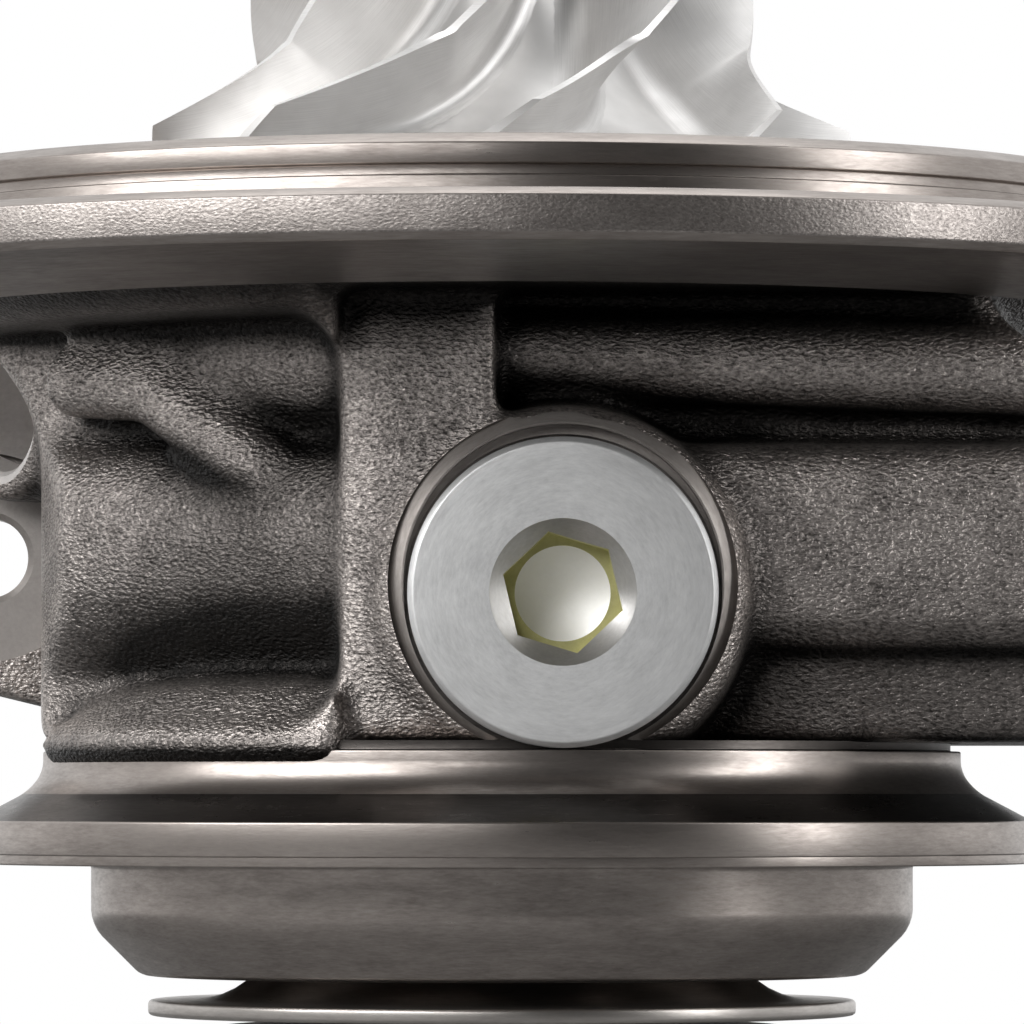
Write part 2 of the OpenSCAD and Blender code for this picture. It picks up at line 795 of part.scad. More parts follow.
// Dished sheet that sits on the nose with its rim towards the turbine
module heat_shield() {
    edge = 0.3;
    rim_r = shield_d / 2;
    color("lightgray")
        rotate_extrude()
            polygon([
                [nose_r + slide_gap, shield_seat_z],
                [shield_crown_r, shield_seat_z],
                [shield_rim_in, shield_top],
                [rim_r - edge, shield_top],
                [rim_r, shield_top - edge],
                [rim_r, shield_top - shield_t + edge],
                [rim_r - edge, shield_top - shield_t],
                [shield_rim_in - shield_t * 0.5, shield_top - shield_t],
                [shield_crown_r - shield_t * 0.5, shield_seat_z - shield_t],
                [nose_r + slide_gap, shield_seat_z - shield_t]
            ]);
}

module seal_plate() {
    land = 3;
    land_h = 0.8;
    color("lightsteelblue")
        rotate_extrude()
            polygon([
                [plate_bore_r, plate_z],
                [plate_r, plate_z],
                [plate_r, o_ring_z - o_ring_groove_w / 2],
                [o_ring_groove_r, o_ring_z - o_ring_groove_w / 2],
                [o_ring_groove_r, o_ring_z + o_ring_groove_w / 2],
                [plate_r, o_ring_z + o_ring_groove_w / 2],
                [plate_r, plate_top],
                [plate_bore_r + land + 1, plate_top],
                [plate_bore_r + land, plate_top + land_h],
                [plate_bore_r, plate_top + land_h]
            ]);
}

module seal_plate_o_ring() {
    color("black")
        translate([0, 0, o_ring_z])
            rotate_extrude()
                translate([plate_r - o_ring_d / 2, 0])
                    circle(o_ring_d / 2, $fn = 32);
}

// Split ring with two eyelets for the pliers
module seal_plate_circlip() {
    gap = 30;
    slack = 0.2;
    width = 1.6;
    r_out = plate_r + clip_depth - slack;
    r_in = plate_r - width;
    eye_r = 1.9;
    eye_hole_r = 0.8;
    eye_in = 0.3;
    color("darkslategray")
        difference() {
            union() {
                split_ring(r_in, r_out, plate_top, clip_t, gap);
                for (side = [-1, 1])
                    rotate([0, 0, side * gap / 2])
                        translate([r_in, side * eye_r * 0.5, plate_top])
                            cylinder(h = clip_t, r = eye_r);
            }
            for (side = [-1, 1])
                rotate([0, 0, side * gap / 2])
                    translate([r_in - eye_in, side * eye_r * 0.5, plate_top - over])
                        cylinder(h = clip_t + 2 * over, r = eye_hole_r);
        }
}

// Sheet ring whose skirt stands on the thrust bearing, under the seal plate
module oil_deflector() {
    sheet = 0.8;
    room = 0.5;
    plate_gap = 1;
    hole_r = collar_flange_d / 2 + room;
    color("gainsboro") {
        ring(thrust_r - sheet, thrust_r, thrust_top, deflector_h);
        ring(hole_r, thrust_r - sheet + over, plate_z - plate_gap - sheet, sheet);
    }
}

// Bronze disc with oil grooves in both faces and a cut-out above the drain
module thrust_bearing() {
    groove = 0.5;
    groove_w = 1.2;
    cut_r = 7;
    color("darkgoldenrod")
        difference() {
            ring(neck_collar_r + spin_gap, thrust_r, thrust_z, thrust_t);
            for (a = [30:60:330], z = [thrust_z - over, thrust_top - groove])
                rotate([0, 0, a])
                    translate([neck_collar_r, -groove_w / 2, z])
                        cube([collar_flange_d / 2 - neck_collar_r, groove_w, groove + over]);
            translate([thrust_r, 0, thrust_z - over])
                cylinder(h = thrust_t + 2 * over, r = cut_r);
            for (side = [-1, 1])
                translate([0, side * pin_ring_r, thrust_z - over])
                    cylinder(h = thrust_t + 2 * over, r = pin_r + slide_gap);
        }
}

module thrust_bearing_pins() {
    below = 0.3;
    color("gray")
        for (side = [-1, 1])
            translate([0, side * pin_ring_r, thrust_z - pin_depth])
                cylinder(h = pin_depth + thrust_t - below, r = pin_r);
}

module compressor_piston_ring() {
    r = plate_bore_r - slide_gap;
    color("slategray")
        split_ring(r - c_ring_w, r, c_ring_z, c_ring_t, ring_gap);
}

module turbine_piston_ring() {
    r = nose_bore_r - slide_gap;
    color("slategray")
        split_ring(r - t_ring_w, r, t_ring_z, t_ring_t, ring_gap);
}

module bearing_circlip(z) {
    slack = 0.1;
    gap = 40;
    r_out = bore_r + bearing_clip_depth - slack;
    color("darkslategray")
        split_ring(bore_r - bearing_clip_depth, r_out, z, bearing_clip_t, gap);
}

module compressor_bearing_circlip() {
    bearing_circlip(c_clip_z);
}

module turbine_bearing_inner_circlip() {
    bearing_circlip(t_inner_clip_z);
}

module turbine_bearing_outer_circlip() {
    bearing_circlip(t_outer_clip_z);
}

// Floating bronze bush with oil holes at half its length
module journal_bearing(z) {
    edge = 0.5;
    hole_r = 0.9;
    inner_r = journal_r + journal_gap;
    color("goldenrod")
        difference() {
            translate([0, 0, z])
                rotate_extrude()
                    polygon([
                        [inner_r, 0],
                        [bearing_r - edge, 0],
                        [bearing_r, edge],
                        [bearing_r, bearing_l - edge],
                        [bearing_r - edge, bearing_l],
                        [inner_r, bearing_l]
                    ]);
            for (a = [0:60:300])
                rotate([0, 0, a])
                    translate([0, 0, z + bearing_l / 2])
                        rotate([0, 90, 0])
                            cylinder(h = bearing_r + 1, r = hole_r);
        }
}

module compressor_journal_bearing() {
    journal_bearing(c_bearing_z);
}

module turbine_journal_bearing() {
    journal_bearing(t_bearing_z);
}

// Shaft from the weld at the turbine wheel to its threaded end above the compressor nut
module turbine_shaft() {
    groove_r = nose_bore_r - slide_gap - t_ring_w - spin_gap;
    waist_r = journal_r - 0.4;
    waist_in = 1.5;
    cone = 1;
    tip = 0.6;
    color("silver")
        rotate_extrude()
            polygon([
                [0, weld_z],
                [ring_boss_r, weld_z],
                [ring_boss_r, t_ring_z - spin_gap],
                [groove_r, t_ring_z - spin_gap],
                [groove_r, t_ring_z + t_ring_t + spin_gap],
                [ring_boss_r, t_ring_z + t_ring_t + spin_gap],
                [ring_boss_r, boss_top - 2 * cone],
                [journal_r + cone, boss_top],
                [journal_r, boss_top + cone],
                [journal_r, t_bearing_top + cone],
                [waist_r, t_bearing_top + waist_in],
                [waist_r, c_bearing_z - waist_in],
                [journal_r, c_bearing_z - cone],
                [journal_r, collar_z],
                [stub_r, collar_z],
                [stub_r, shaft_top - tip],
                [stub_r - tip, shaft_top],
                [0, shaft_top]
            ]);
}

// Spool on the shaft's shoulder: the flange runs under the thrust bearing, the neck through it
module thrust_collar() {
    color("lightgray")
        rotate_extrude()
            polygon([
                [stub_r + slide_gap, collar_z],
                [collar_flange_d / 2, collar_z],
                [collar_flange_d / 2, collar_z + collar_flange_t],
                [neck_collar_r, collar_z + collar_flange_t],
                [neck_collar_r, collar_top],
                [stub_r + slide_gap, collar_top]
            ]);
}

// Sleeve above the thrust bearing: thrust flange, oil slinger and the land for the seal ring
module seal_sleeve() {
    groove_r = plate_bore_r - slide_gap - c_ring_w - spin_gap;
    flange_top = collar_top + sleeve_flange_t;
    slinger_in = 1;
    slinger_gap = 0.4;
    color("lightgray")
        rotate_extrude()
            polygon([
                [stub_r + slide_gap, collar_top],
                [collar_flange_d / 2, collar_top],
                [collar_flange_d / 2, flange_top],
                [sleeve_r - slinger_in, flange_top],
                [sleeve_r, plate_z - slinger_gap],
                [sleeve_r, c_ring_z - spin_gap],
                [groove_r, c_ring_z - spin_gap],
                [groove_r, c_ring_z + c_ring_t + spin_gap],
                [sleeve_r, c_ring_z + c_ring_t + spin_gap],
                [sleeve_r, sleeve_top],
                [stub_r + slide_gap, sleeve_top]
            ]);
}

// Hub, shroud and turn of the compressor blades, from the exducer (s = 0) to the inducer (s = 1)
cw_r = cw_exducer_d / 2;
cw_inducer_r = cw_inducer_d / 2;
cw_hub_r = cw_hub_d / 2;
cw_bend = 5.9;
cw_edge = 0.1;
cw_sink = 0.8;
cw_bow = 0.15;
cw_bow_at = 0.62;
cw_set_back = 0.6;
cw_nose_edge = 0.6;
function curve(a, b, c, t) = (1 - t) * (1 - t) * a + 2 * t * (1 - t) * b + t * t * c;
function cw_hub(s) = [
    cw_hub_r + (cw_r - cw_edge - cw_hub_r) * (1 - sin(90 * s)),
    face_z + cw_length * (1 - cos(90 * s)),
    -cw_lean + (cw_wrap + cw_lean) * s];
function cw_shroud(s) = let (
    exit = [cw_r - cw_edge, face_z + cw_tip_h],
    bend = [cw_inducer_r + cw_bow, face_z + cw_tip_h + cw_bend * cw_bow_at],
    top = [cw_inducer_r, face_z + cw_tip_h + cw_bend],
    p = s < 0.5 ? curve(exit, bend, top, 2 * s)
        : top + [0, (cw_length - cw_set_back - cw_tip_h - cw_bend) * (2 * s - 1)])
    [p[0], p[1], cw_wrap * s];

module compressor_wheel() {
    steps = 14;
    back_t = 1.7;
    back_flat = 4;
    back_boss = 1.5;
    sections = [for (i = [steps:-1:0]) [cw_hub(i / steps), cw_shroud(i / steps)]];
    hub = [for (a = [0:7.5:90]) [
        cw_hub_r + (cw_r - cw_hub_r) * (1 - sin(a)),
        face_z + cw_length * (1 - cos(a))]];
    color("whitesmoke") {
        rotate_extrude()
            polygon(concat([
                [stub_r + slide_gap, sleeve_top],
                [sleeve_r + back_boss, sleeve_top],
                [cw_r - back_flat, face_z - back_t],
                [cw_r, face_z - back_t]], hub, [
                [cw_hub_r, cw_nose_z - cw_nose_edge],
                [cw_hub_r - cw_nose_edge, cw_nose_z],
                [stub_r + slide_gap, cw_nose_z]]));
        for (b = [0:cw_blades - 1])
            rotate([0, 0, cw_turn + 360 / cw_blades * b])
                blade(sections, cw_root_t, cw_tip_t, cw_sink);
    }
}

// Hexagon nut with a round flange under it
module compressor_nut() {
    color("dimgray")
        translate([0, 0, cw_nose_z])
            difference() {
                union() {
                    cylinder(h = nut_flange_h, r = cw_hub_r - cw_nose_edge);
                    cylinder(h = nut_h, r = nut_flat / 2 / cos(30), $fn = 6);
                }
                translate([0, 0, -over])
                    cylinder(h = nut_h + 2 * over, r = stub_r + slide_gap);
            }
}

// Hub, shroud and turn of the turbine blades, from the inlet (s = 0) to the exducer (s = 1)
tw_r = tw_d / 2;
tw_hub_r = tw_hub_d / 2;
tw_disc_t = 1.6;
tw_rim = tw_back - tw_disc_t;
tw_edge = 0.15;
tw_sink = 1;
tw_root_arc = 85;
tw_bow = 0.2;
tw_bow_at = 1;
tw_set_back = 0.7;
function tw_hub(s) = [
    tw_hub_r + (tw_r - tw_edge - tw_hub_r) * (1 - sin(tw_root_arc * s)),
    tw_rim - (tw_length - tw_disc_t) * (1 - cos(tw_root_arc * s)),
    -tw_wrap / 2 * s * s];
function tw_shroud(s) = let (
    inlet = [tw_r - tw_edge, tw_rim - tw_tip_h],
    bend = [tw_exducer_d / 2 + tw_bow, tw_rim - tw_tip_h - tw_bow_at],
    exit = [tw_exducer_d / 2, tw_back - tw_length + tw_set_back],
    p = curve(inlet, bend, exit, s))
    [p[0], p[1], -tw_wrap * s * s];

module turbine_wheel() {
    steps = 10;
    nose = 4.5;
    nose_in = 1.5;
    boss_in = 1;
    end_h = 1.6;
    exit_z = tw_back - tw_length;
    sections = [for (i = [0:steps]) [tw_hub(i / steps), tw_shroud(i / steps)]];
    hub = [for (a = [0:9:90]) [
        tw_hub_r + (tw_r - tw_hub_r) * (1 - sin(a)),
        tw_rim - (tw_length - tw_disc_t) * (1 - cos(a))]];
    color("rosybrown") {
        rotate_extrude()
            polygon(concat([
                [0, weld_z],
                [ring_boss_r, weld_z],
                [ring_boss_r + boss_in, tw_back],
                [tw_r, tw_back]], hub, [
                [tw_hub_r, exit_z - boss_in],
                [tw_hub_r - boss_in, exit_z - end_h],
                [0, exit_z - end_h]]));
        translate([0, 0, exit_z - nose])
            cylinder(h = nose, r = tw_hub_r - nose_in, $fn = 6);
        for (b = [0:tw_blades - 1])
            rotate([0, 0, 360 / tw_blades * b])
                blade(sections, tw_root_t, tw_tip_t, tw_sink);
    }
}

bearing_housing();
core_plug();
core_plug_washer();
heat_shield();
seal_plate();
seal_plate_o_ring();
seal_plate_circlip();
oil_deflector();
thrust_bearing();
thrust_bearing_pins();
compressor_piston_ring();
turbine_piston_ring();
compressor_bearing_circlip();
turbine_bearing_inner_circlip();
turbine_bearing_outer_circlip();
compressor_journal_bearing();
turbine_journal_bearing();
turbine_shaft();
turbine_wheel();
thrust_collar();
seal_sleeve();
compressor_wheel();
compressor_nut();
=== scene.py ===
import math

import bmesh
import bpy
from mathutils import Matrix, Vector


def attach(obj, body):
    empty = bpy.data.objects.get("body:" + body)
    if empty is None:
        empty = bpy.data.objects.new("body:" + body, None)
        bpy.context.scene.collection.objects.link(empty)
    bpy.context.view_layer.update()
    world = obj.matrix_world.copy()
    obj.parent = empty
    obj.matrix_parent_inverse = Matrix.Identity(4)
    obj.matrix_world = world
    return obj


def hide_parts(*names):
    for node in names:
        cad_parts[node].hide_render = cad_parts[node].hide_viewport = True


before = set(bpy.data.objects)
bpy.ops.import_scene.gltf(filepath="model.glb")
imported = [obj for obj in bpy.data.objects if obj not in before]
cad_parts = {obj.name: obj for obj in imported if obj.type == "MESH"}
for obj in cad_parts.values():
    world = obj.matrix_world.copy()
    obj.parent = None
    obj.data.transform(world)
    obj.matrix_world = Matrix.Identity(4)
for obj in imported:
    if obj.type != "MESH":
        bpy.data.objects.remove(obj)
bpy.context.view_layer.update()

scene = bpy.context.scene
mm = 0.001
print("frame loaded,", len(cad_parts), "nodes")


# Mesh helpers: sizes come in millimetres and meshes are in metres

def tidy(bm):
    bmesh.ops.remove_doubles(bm, verts=bm.verts[:], dist=1e-6)
    bmesh.ops.recalc_face_normals(bm, faces=bm.faces[:])
    return bm


def turn(points, closed=True, steps=192):
    # points are (radius, height) or (radius, height, rounding)
    bm = bmesh.new()
    verts = [bm.verts.new((p[0] * mm, 0, p[1] * mm)) for p in points]
    for a, b in zip(verts, verts[1:] + verts[:1] if closed else verts[1:]):
        bm.edges.new((a, b))
    rounded = [(p[2], v) for p, v in zip(points, verts) if len(p) > 2]
    for size in sorted({r for r, v in rounded}):
        bmesh.ops.bevel(bm, geom=[v for r, v in rounded if r == size], offset=size * mm,
                        offset_type="OFFSET", segments=4, profile=0.5, affect="VERTICES", material=-1)
    bmesh.ops.spin(bm, geom=bm.verts[:] + bm.edges[:], cent=(0, 0, 0), axis=(0, 0, 1),
                   angle=2 * math.pi, steps=steps, use_merge=True)
    return tidy(bm)


def geometry(bm):
    return bm.verts[:] + bm.edges[:] + bm.faces[:]


def trim(bm, point, way, inner=False):
    # takes off what lies beyond a plane, or on its inner side, and closes the cut
    bmesh.ops.bisect_plane(bm, geom=geometry(bm), plane_co=Vector(point) * mm, plane_no=way,
                           clear_outer=not inner, clear_inner=inner)
    bmesh.ops.holes_fill(bm, edges=[e for e in bm.edges if e.is_boundary], sides=0)
    return tidy(bm)


def roundEdges(bm, edges, size, segments):
    bmesh.ops.bevel(bm, geom=edges, offset=size * mm, offset_type="OFFSET", segments=segments, profile=0.5,
                    affect="EDGES", material=-1)


def block(low, high):
    bm = bmesh.new()
    bmesh.ops.create_cube(bm, size=1)
    low, high = Vector(low), Vector(high)
    bmesh.ops.scale(bm, vec=(high - low) * mm, verts=bm.verts[:])
    bmesh.ops.translate(bm, vec=(low + high) / 2 * mm, verts=bm.verts[:])
    return bm


def rod(start, end, r1, r2=None, segments=72):
    bm = bmesh.new()
    start, end = Vector(start), Vector(end)
    turned = (end - start).to_track_quat("Z", "Y").to_matrix().to_4x4()
    bmesh.ops.create_cone(bm, cap_ends=True, segments=segments, radius1=r1 * mm,
                          radius2=(r1 if r2 is None else r2) * mm, depth=(end - start).length * mm,
                          matrix=Matrix.Translation((start + end) / 2 * mm) @ turned)
    return bm


def prism(outline, way):
    # outline is a few points, drawn out along way
    bm = bmesh.new()
    bm.faces.new([bm.verts.new(Vector(p) * mm) for p in outline])
    drawn = bmesh.ops.extrude_face_region(bm, geom=bm.faces[:])["geom"]
    bmesh.ops.translate(bm, vec=Vector(way) * mm, verts=[g for g in drawn if isinstance(g, bmesh.types.BMVert)])
    return tidy(bm)


def placed(bm, matrix):
    bmesh.ops.transform(bm, matrix=matrix, verts=bm.verts[:])
    return bm


def facing(point, way):
    # takes +Z of a turned shape to way, with its zero height at point
    turned = Vector(way).to_track_quat("Z", "Y").to_matrix().to_4x4()
    return Matrix.Translation(Vector(point) * mm) @ turned


def join(parts):
    whole = bmesh.new()
    for piece in parts:
        mesh = bpy.data.meshes.new("piece")
        piece.to_mesh(mesh)
        piece.free()
        whole.from_mesh(mesh)
        bpy.data.meshes.remove(mesh)
    return whole


def wrapped(parts):
    # one convex skin round all the parts
    bm = join(parts)
    bmesh.ops.delete(bm, geom=bm.edges[:], context="EDGES_FACES")
    spare = bmesh.ops.convex_hull(bm, input=bm.verts[:])["geom_interior"]
    bmesh.ops.delete(bm, geom=[g for g in spare if isinstance(g, bmesh.types.BMVert)], context="VERTS")
    return tidy(bm)


def makeObject(name, bm, materials):
    mesh = bpy.data.meshes.new(name)
    bm.to_mesh(mesh)
    bm.free()
    for material in materials:
        mesh.materials.append(material)
    obj = bpy.data.objects.new(name, mesh)
    scene.collection.objects.link(obj)
    return obj


def applyModifiers(obj):
    graph = bpy.context.evaluated_depsgraph_get()
    mesh = bpy.data.meshes.new_from_object(obj.evaluated_get(graph))
    old = obj.data
    obj.modifiers.clear()
    obj.data = mesh
    bpy.data.meshes.remove(old)


def cut(obj, tool, material=None, operation="DIFFERENCE"):
    cutter = makeObject("cutter", tool, [material] if material else [])
    step = obj.modifiers.new("cut", "BOOLEAN")
    step.operation = operation
    step.solver = "EXACT"
    step.material_mode = "TRANSFER"
    step.object = cutter
    applyModifiers(obj)
    mesh = cutter.data
    bpy.data.objects.remove(cutter)
    bpy.data.meshes.remove(mesh)


def dress(obj, body, nodes, sharp=32):
    obj.data.shade_smooth()
    obj.data.set_sharp_from_angle(angle=math.radians(sharp))
    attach(obj, body)
    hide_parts(*nodes)
    print(obj.name, "made,", sum(len(p.vertices) - 2 for p in obj.data.polygons), "triangles")
    return obj


# Shader helpers

def addNode(tree, kind, values=None, **settings):
    made = tree.nodes.new(kind)
    for key, value in settings.items():
        setattr(made, key, value)
    for key, value in (values or {}).items():
        if isinstance(value, bpy.types.NodeSocket):
            tree.links.new(value, made.inputs[key])
        else:
            made.inputs[key].default_value = value
    return made


def maths(tree, operation, a, b=0.0):
    return addNode(tree, "ShaderNodeMath", {0: a, 1: b}, operation=operation).outputs[0]


def blend(tree, a, shareA, b, shareB):
    return maths(tree, "ADD", maths(tree, "MULTIPLY", a, shareA), maths(tree, "MULTIPLY", b, shareB))


def span(tree, value, fromLow, fromHigh, toLow, toHigh):
    return addNode(tree, "ShaderNodeMapRange", {
        "Value": value, "From Min": fromLow, "From Max": fromHigh, "To Min": toLow, "To Max": toHigh}).outputs[0]


def ramp(tree, value, stops):
    made = addNode(tree, "ShaderNodeValToRGB", {0: value})
    bar = made.color_ramp.elements
    while len(bar) < len(stops):
        bar.new(0.5)
    for element, (place, colour) in zip(bar, stops):
        element.position = place
        element.color = (*colour, 1)
    return made.outputs[0]


def effectGroup(name, inputs, outputs):
    tree = bpy.data.node_groups.new(name, "ShaderNodeTree")
    for label, kind, value in inputs:
        socket = tree.interface.new_socket(name=label, in_out="INPUT", socket_type=kind)
        if value is not None:
            socket.default_value = value
    for label, kind in outputs:
        tree.interface.new_socket(name=label, in_out="OUTPUT", socket_type=kind)
    return tree, tree.nodes.new("NodeGroupInput").outputs, tree.nodes.new("NodeGroupOutput").inputs


def turnedGrainGroup():
    # fine lines that run round the Z axis, broken up along their length
    tree, given, out = effectGroup("turned grain", [
        ("Vector", "NodeSocketVector", None), ("Lines", "NodeSocketFloat", 2500.0),
        ("Breaks", "NodeSocketFloat", 24.0)], [
        ("Line", "NodeSocketFloat"), ("Blotch", "NodeSocketFloat")])
    axes = addNode(tree, "ShaderNodeSeparateXYZ", {0: given["Vector"]}).outputs
    radius = maths(tree, "SQRT", maths(tree, "ADD", maths(tree, "MULTIPLY", axes[0], axes[0]),
                                       maths(tree, "MULTIPLY", axes[1], axes[1])))
    safe = maths(tree, "MAXIMUM", radius, 1e-5)
    around = [maths(tree, "MULTIPLY", maths(tree, "DIVIDE", axis, safe), given["Breaks"]) for axis in axes[:2]]
    place = addNode(tree, "ShaderNodeCombineXYZ", {
        0: around[0], 1: around[1], 2: maths(tree, "MULTIPLY", axes[2], given["Lines"])}).outputs[0]
    line = addNode(tree, "ShaderNodeTexNoise", {
        "Vector": place, "W": maths(tree, "MULTIPLY", radius, given["Lines"]), "Scale": 1.0, "Detail": 3.0,
        "Roughness": 0.7}, noise_dimensions="4D")
    spread = addNode(tree, "ShaderNodeVectorMath", {0: place, 1: (0.25, 0.25, 0.2)}, operation="MULTIPLY").outputs[0]
    fewer = maths(tree, "MULTIPLY", given["Lines"], 0.2)
    wide = addNode(tree, "ShaderNodeTexNoise", {
        "Vector": spread, "W": maths(tree, "MULTIPLY", radius, fewer), "Scale": 1.0, "Detail": 2.0,
        "Roughness": 0.5}, noise_dimensions="4D")
    blotch = addNode(tree, "ShaderNodeTexNoise", {
        "Vector": given["Vector"], "Scale": 160.0, "Detail": 4.0, "Roughness": 0.6})
    tree.links.new(blend(tree, line.outputs[0], 0.6, wide.outputs[0], 0.4), out["Line"])
    tree.links.new(blotch.outputs[0], out["Blotch"])
    return tree


def castSkinGroup():
    # pebbled skin of a sand casting, in grains that are wider than they are high
    tree, given, out = effectGroup("cast skin", [
        ("Vector", "NodeSocketVector", None), ("Grain", "NodeSocketFloat", 1500.0)], [
        ("Height", "NodeSocketFloat"), ("Tone", "NodeSocketFloat")])
    flat = addNode(tree, "ShaderNodeVectorMath", {
        0: given["Vector"], 1: (1.0, 1.0, 1.8)}, operation="MULTIPLY").outputs[0]
    pebble = addNode(tree, "ShaderNodeTexVoronoi", {
        "Vector": flat, "Scale": given["Grain"], "Smoothness": 0.6}, feature="SMOOTH_F1")
    fine = addNode(tree, "ShaderNodeTexNoise", {
        "Vector": flat, "Scale": maths(tree, "MULTIPLY", given["Grain"], 1.1), "Detail": 2.0, "Roughness": 0.6})
    wide = addNode(tree, "ShaderNodeTexNoise", {
        "Vector": given["Vector"], "Scale": maths(tree, "MULTIPLY", given["Grain"], 0.12),
        "Detail": 4.0, "Roughness": 0.55})
    height = maths(tree, "ADD", maths(tree, "MULTIPLY", pebble.outputs["Distance"], -0.5), fine.outputs[0])
    tree.links.new(height, out["Height"])
    tree.links.new(blend(tree, wide.outputs[0], 0.3, fine.outputs[0], 0.7), out["Tone"])
    return tree


turnedGrain = turnedGrainGroup()
castSkin = castSkinGroup()


def newMaterial(name, metallic, roughness):
    material = bpy.data.materials.new(name)
    material.use_nodes = True
    tree = material.node_tree
    shader = tree.nodes["Principled BSDF"]
    shader.inputs["Metallic"].default_value = metallic
    shader.inputs["Roughness"].default_value = roughness
    return material, tree, shader, addNode(tree, "ShaderNodeTexCoord").outputs["Object"]


def addBump(tree, shader, height, strength, depth):
    bump = addNode(tree, "ShaderNodeBump", {"Height": height, "Strength": strength, "Distance": depth * mm})
    tree.links.new(bump.outputs[0], shader.inputs["Normal"])


def turnedMetal(name, look):
    material, tree, shader, place = newMaterial(name, look.get("metallic", 1.0), 0.3)
    if "centre" in look:
        place = addNode(tree, "ShaderNodeMapping", {
            "Vector": place, "Location": look["centre"], "Rotation": look["turned"]}).outputs[0]
    grain = addNode(tree, "ShaderNodeGroup", node_tree=turnedGrain)
    tree.links.new(place, grain.inputs["Vector"])
    grain.inputs["Lines"].default_value = look["lines"]
    grain.inputs["Breaks"].default_value = look["breaks"]
    tone = blend(tree, grain.outputs["Line"], 0.8, grain.outputs["Blotch"], 0.2)
    tree.links.new(ramp(tree, tone, [(0.3, look["dark"]), (0.7, look["light"])]), shader.inputs["Base Color"])
    tree.links.new(span(tree, tone, 0.3, 0.7, look["rough"][1], look["rough"][0]), shader.inputs["Roughness"])
    addBump(tree, shader, grain.outputs["Line"], look["bump"], look["depth"])
    return material


def castMetal(name, look):
    material, tree, shader, place = newMaterial(name, look["metallic"], 0.5)
    skin = addNode(tree, "ShaderNodeGroup", node_tree=castSkin)
    tree.links.new(place, skin.inputs["Vector"])
    skin.inputs["Grain"].default_value = look["grain"]
    colour = ramp(tree, skin.outputs["Tone"], [(0.3, look["dark"]), (0.7, look["light"])])
    if "paintedShadeTone" in look:
        # painted highlight on raised edges, painted shade in the hollows, under the flange and on downward faces
        paintedShade = addNode(tree, "ShaderNodeAttribute", attribute_name="paintedShade").outputs["Fac"]
        tone = span(tree, paintedShade, 0.0, 1.0, look["paintedShadeTone"][0], look["paintedShadeTone"][1])
        colour = addNode(tree, "ShaderNodeVectorMath", {0: colour, "Scale": tone}, operation="SCALE").outputs[0]
    tree.links.new(colour, shader.inputs["Base Color"])
    tree.links.new(span(tree, skin.outputs["Height"], 0.0, 0.7, look["rough"][1], look["rough"][0]),
                   shader.inputs["Roughness"])
    addBump(tree, shader, skin.outputs["Height"], look["bump"], look["depth"])
    return material


def milledMetal(name, look):
    # lines follow the blade, from the flow attribute
    material, tree, shader, place = newMaterial(name, look["metallic"], 0.4)
    flow = addNode(tree, "ShaderNodeAttribute", attribute_name="flow").outputs["Vector"]
    line = addNode(tree, "ShaderNodeTexNoise", {
        "Vector": addNode(tree, "ShaderNodeMapping", {"Vector": flow, "Scale": look["stretch"]}).outputs[0],
        "Scale": 1.0, "Detail": 3.0, "Roughness": 0.6}).outputs[0]
    cloud = addNode(tree, "ShaderNodeTexNoise", {"Vector": place, "Scale": 260.0, "Detail": 4.0}).outputs[0]
    tone = blend(tree, line, 0.55, cloud, 0.45)
    tree.links.new(ramp(tree, tone, [(0.3, look["dark"]), (0.7, look["light"])]), shader.inputs["Base Color"])
    tree.links.new(span(tree, tone, 0.3, 0.7, look["rough"][1], look["rough"][0]), shader.inputs["Roughness"])
    addBump(tree, shader, line, look["bump"], look["depth"])
    return material


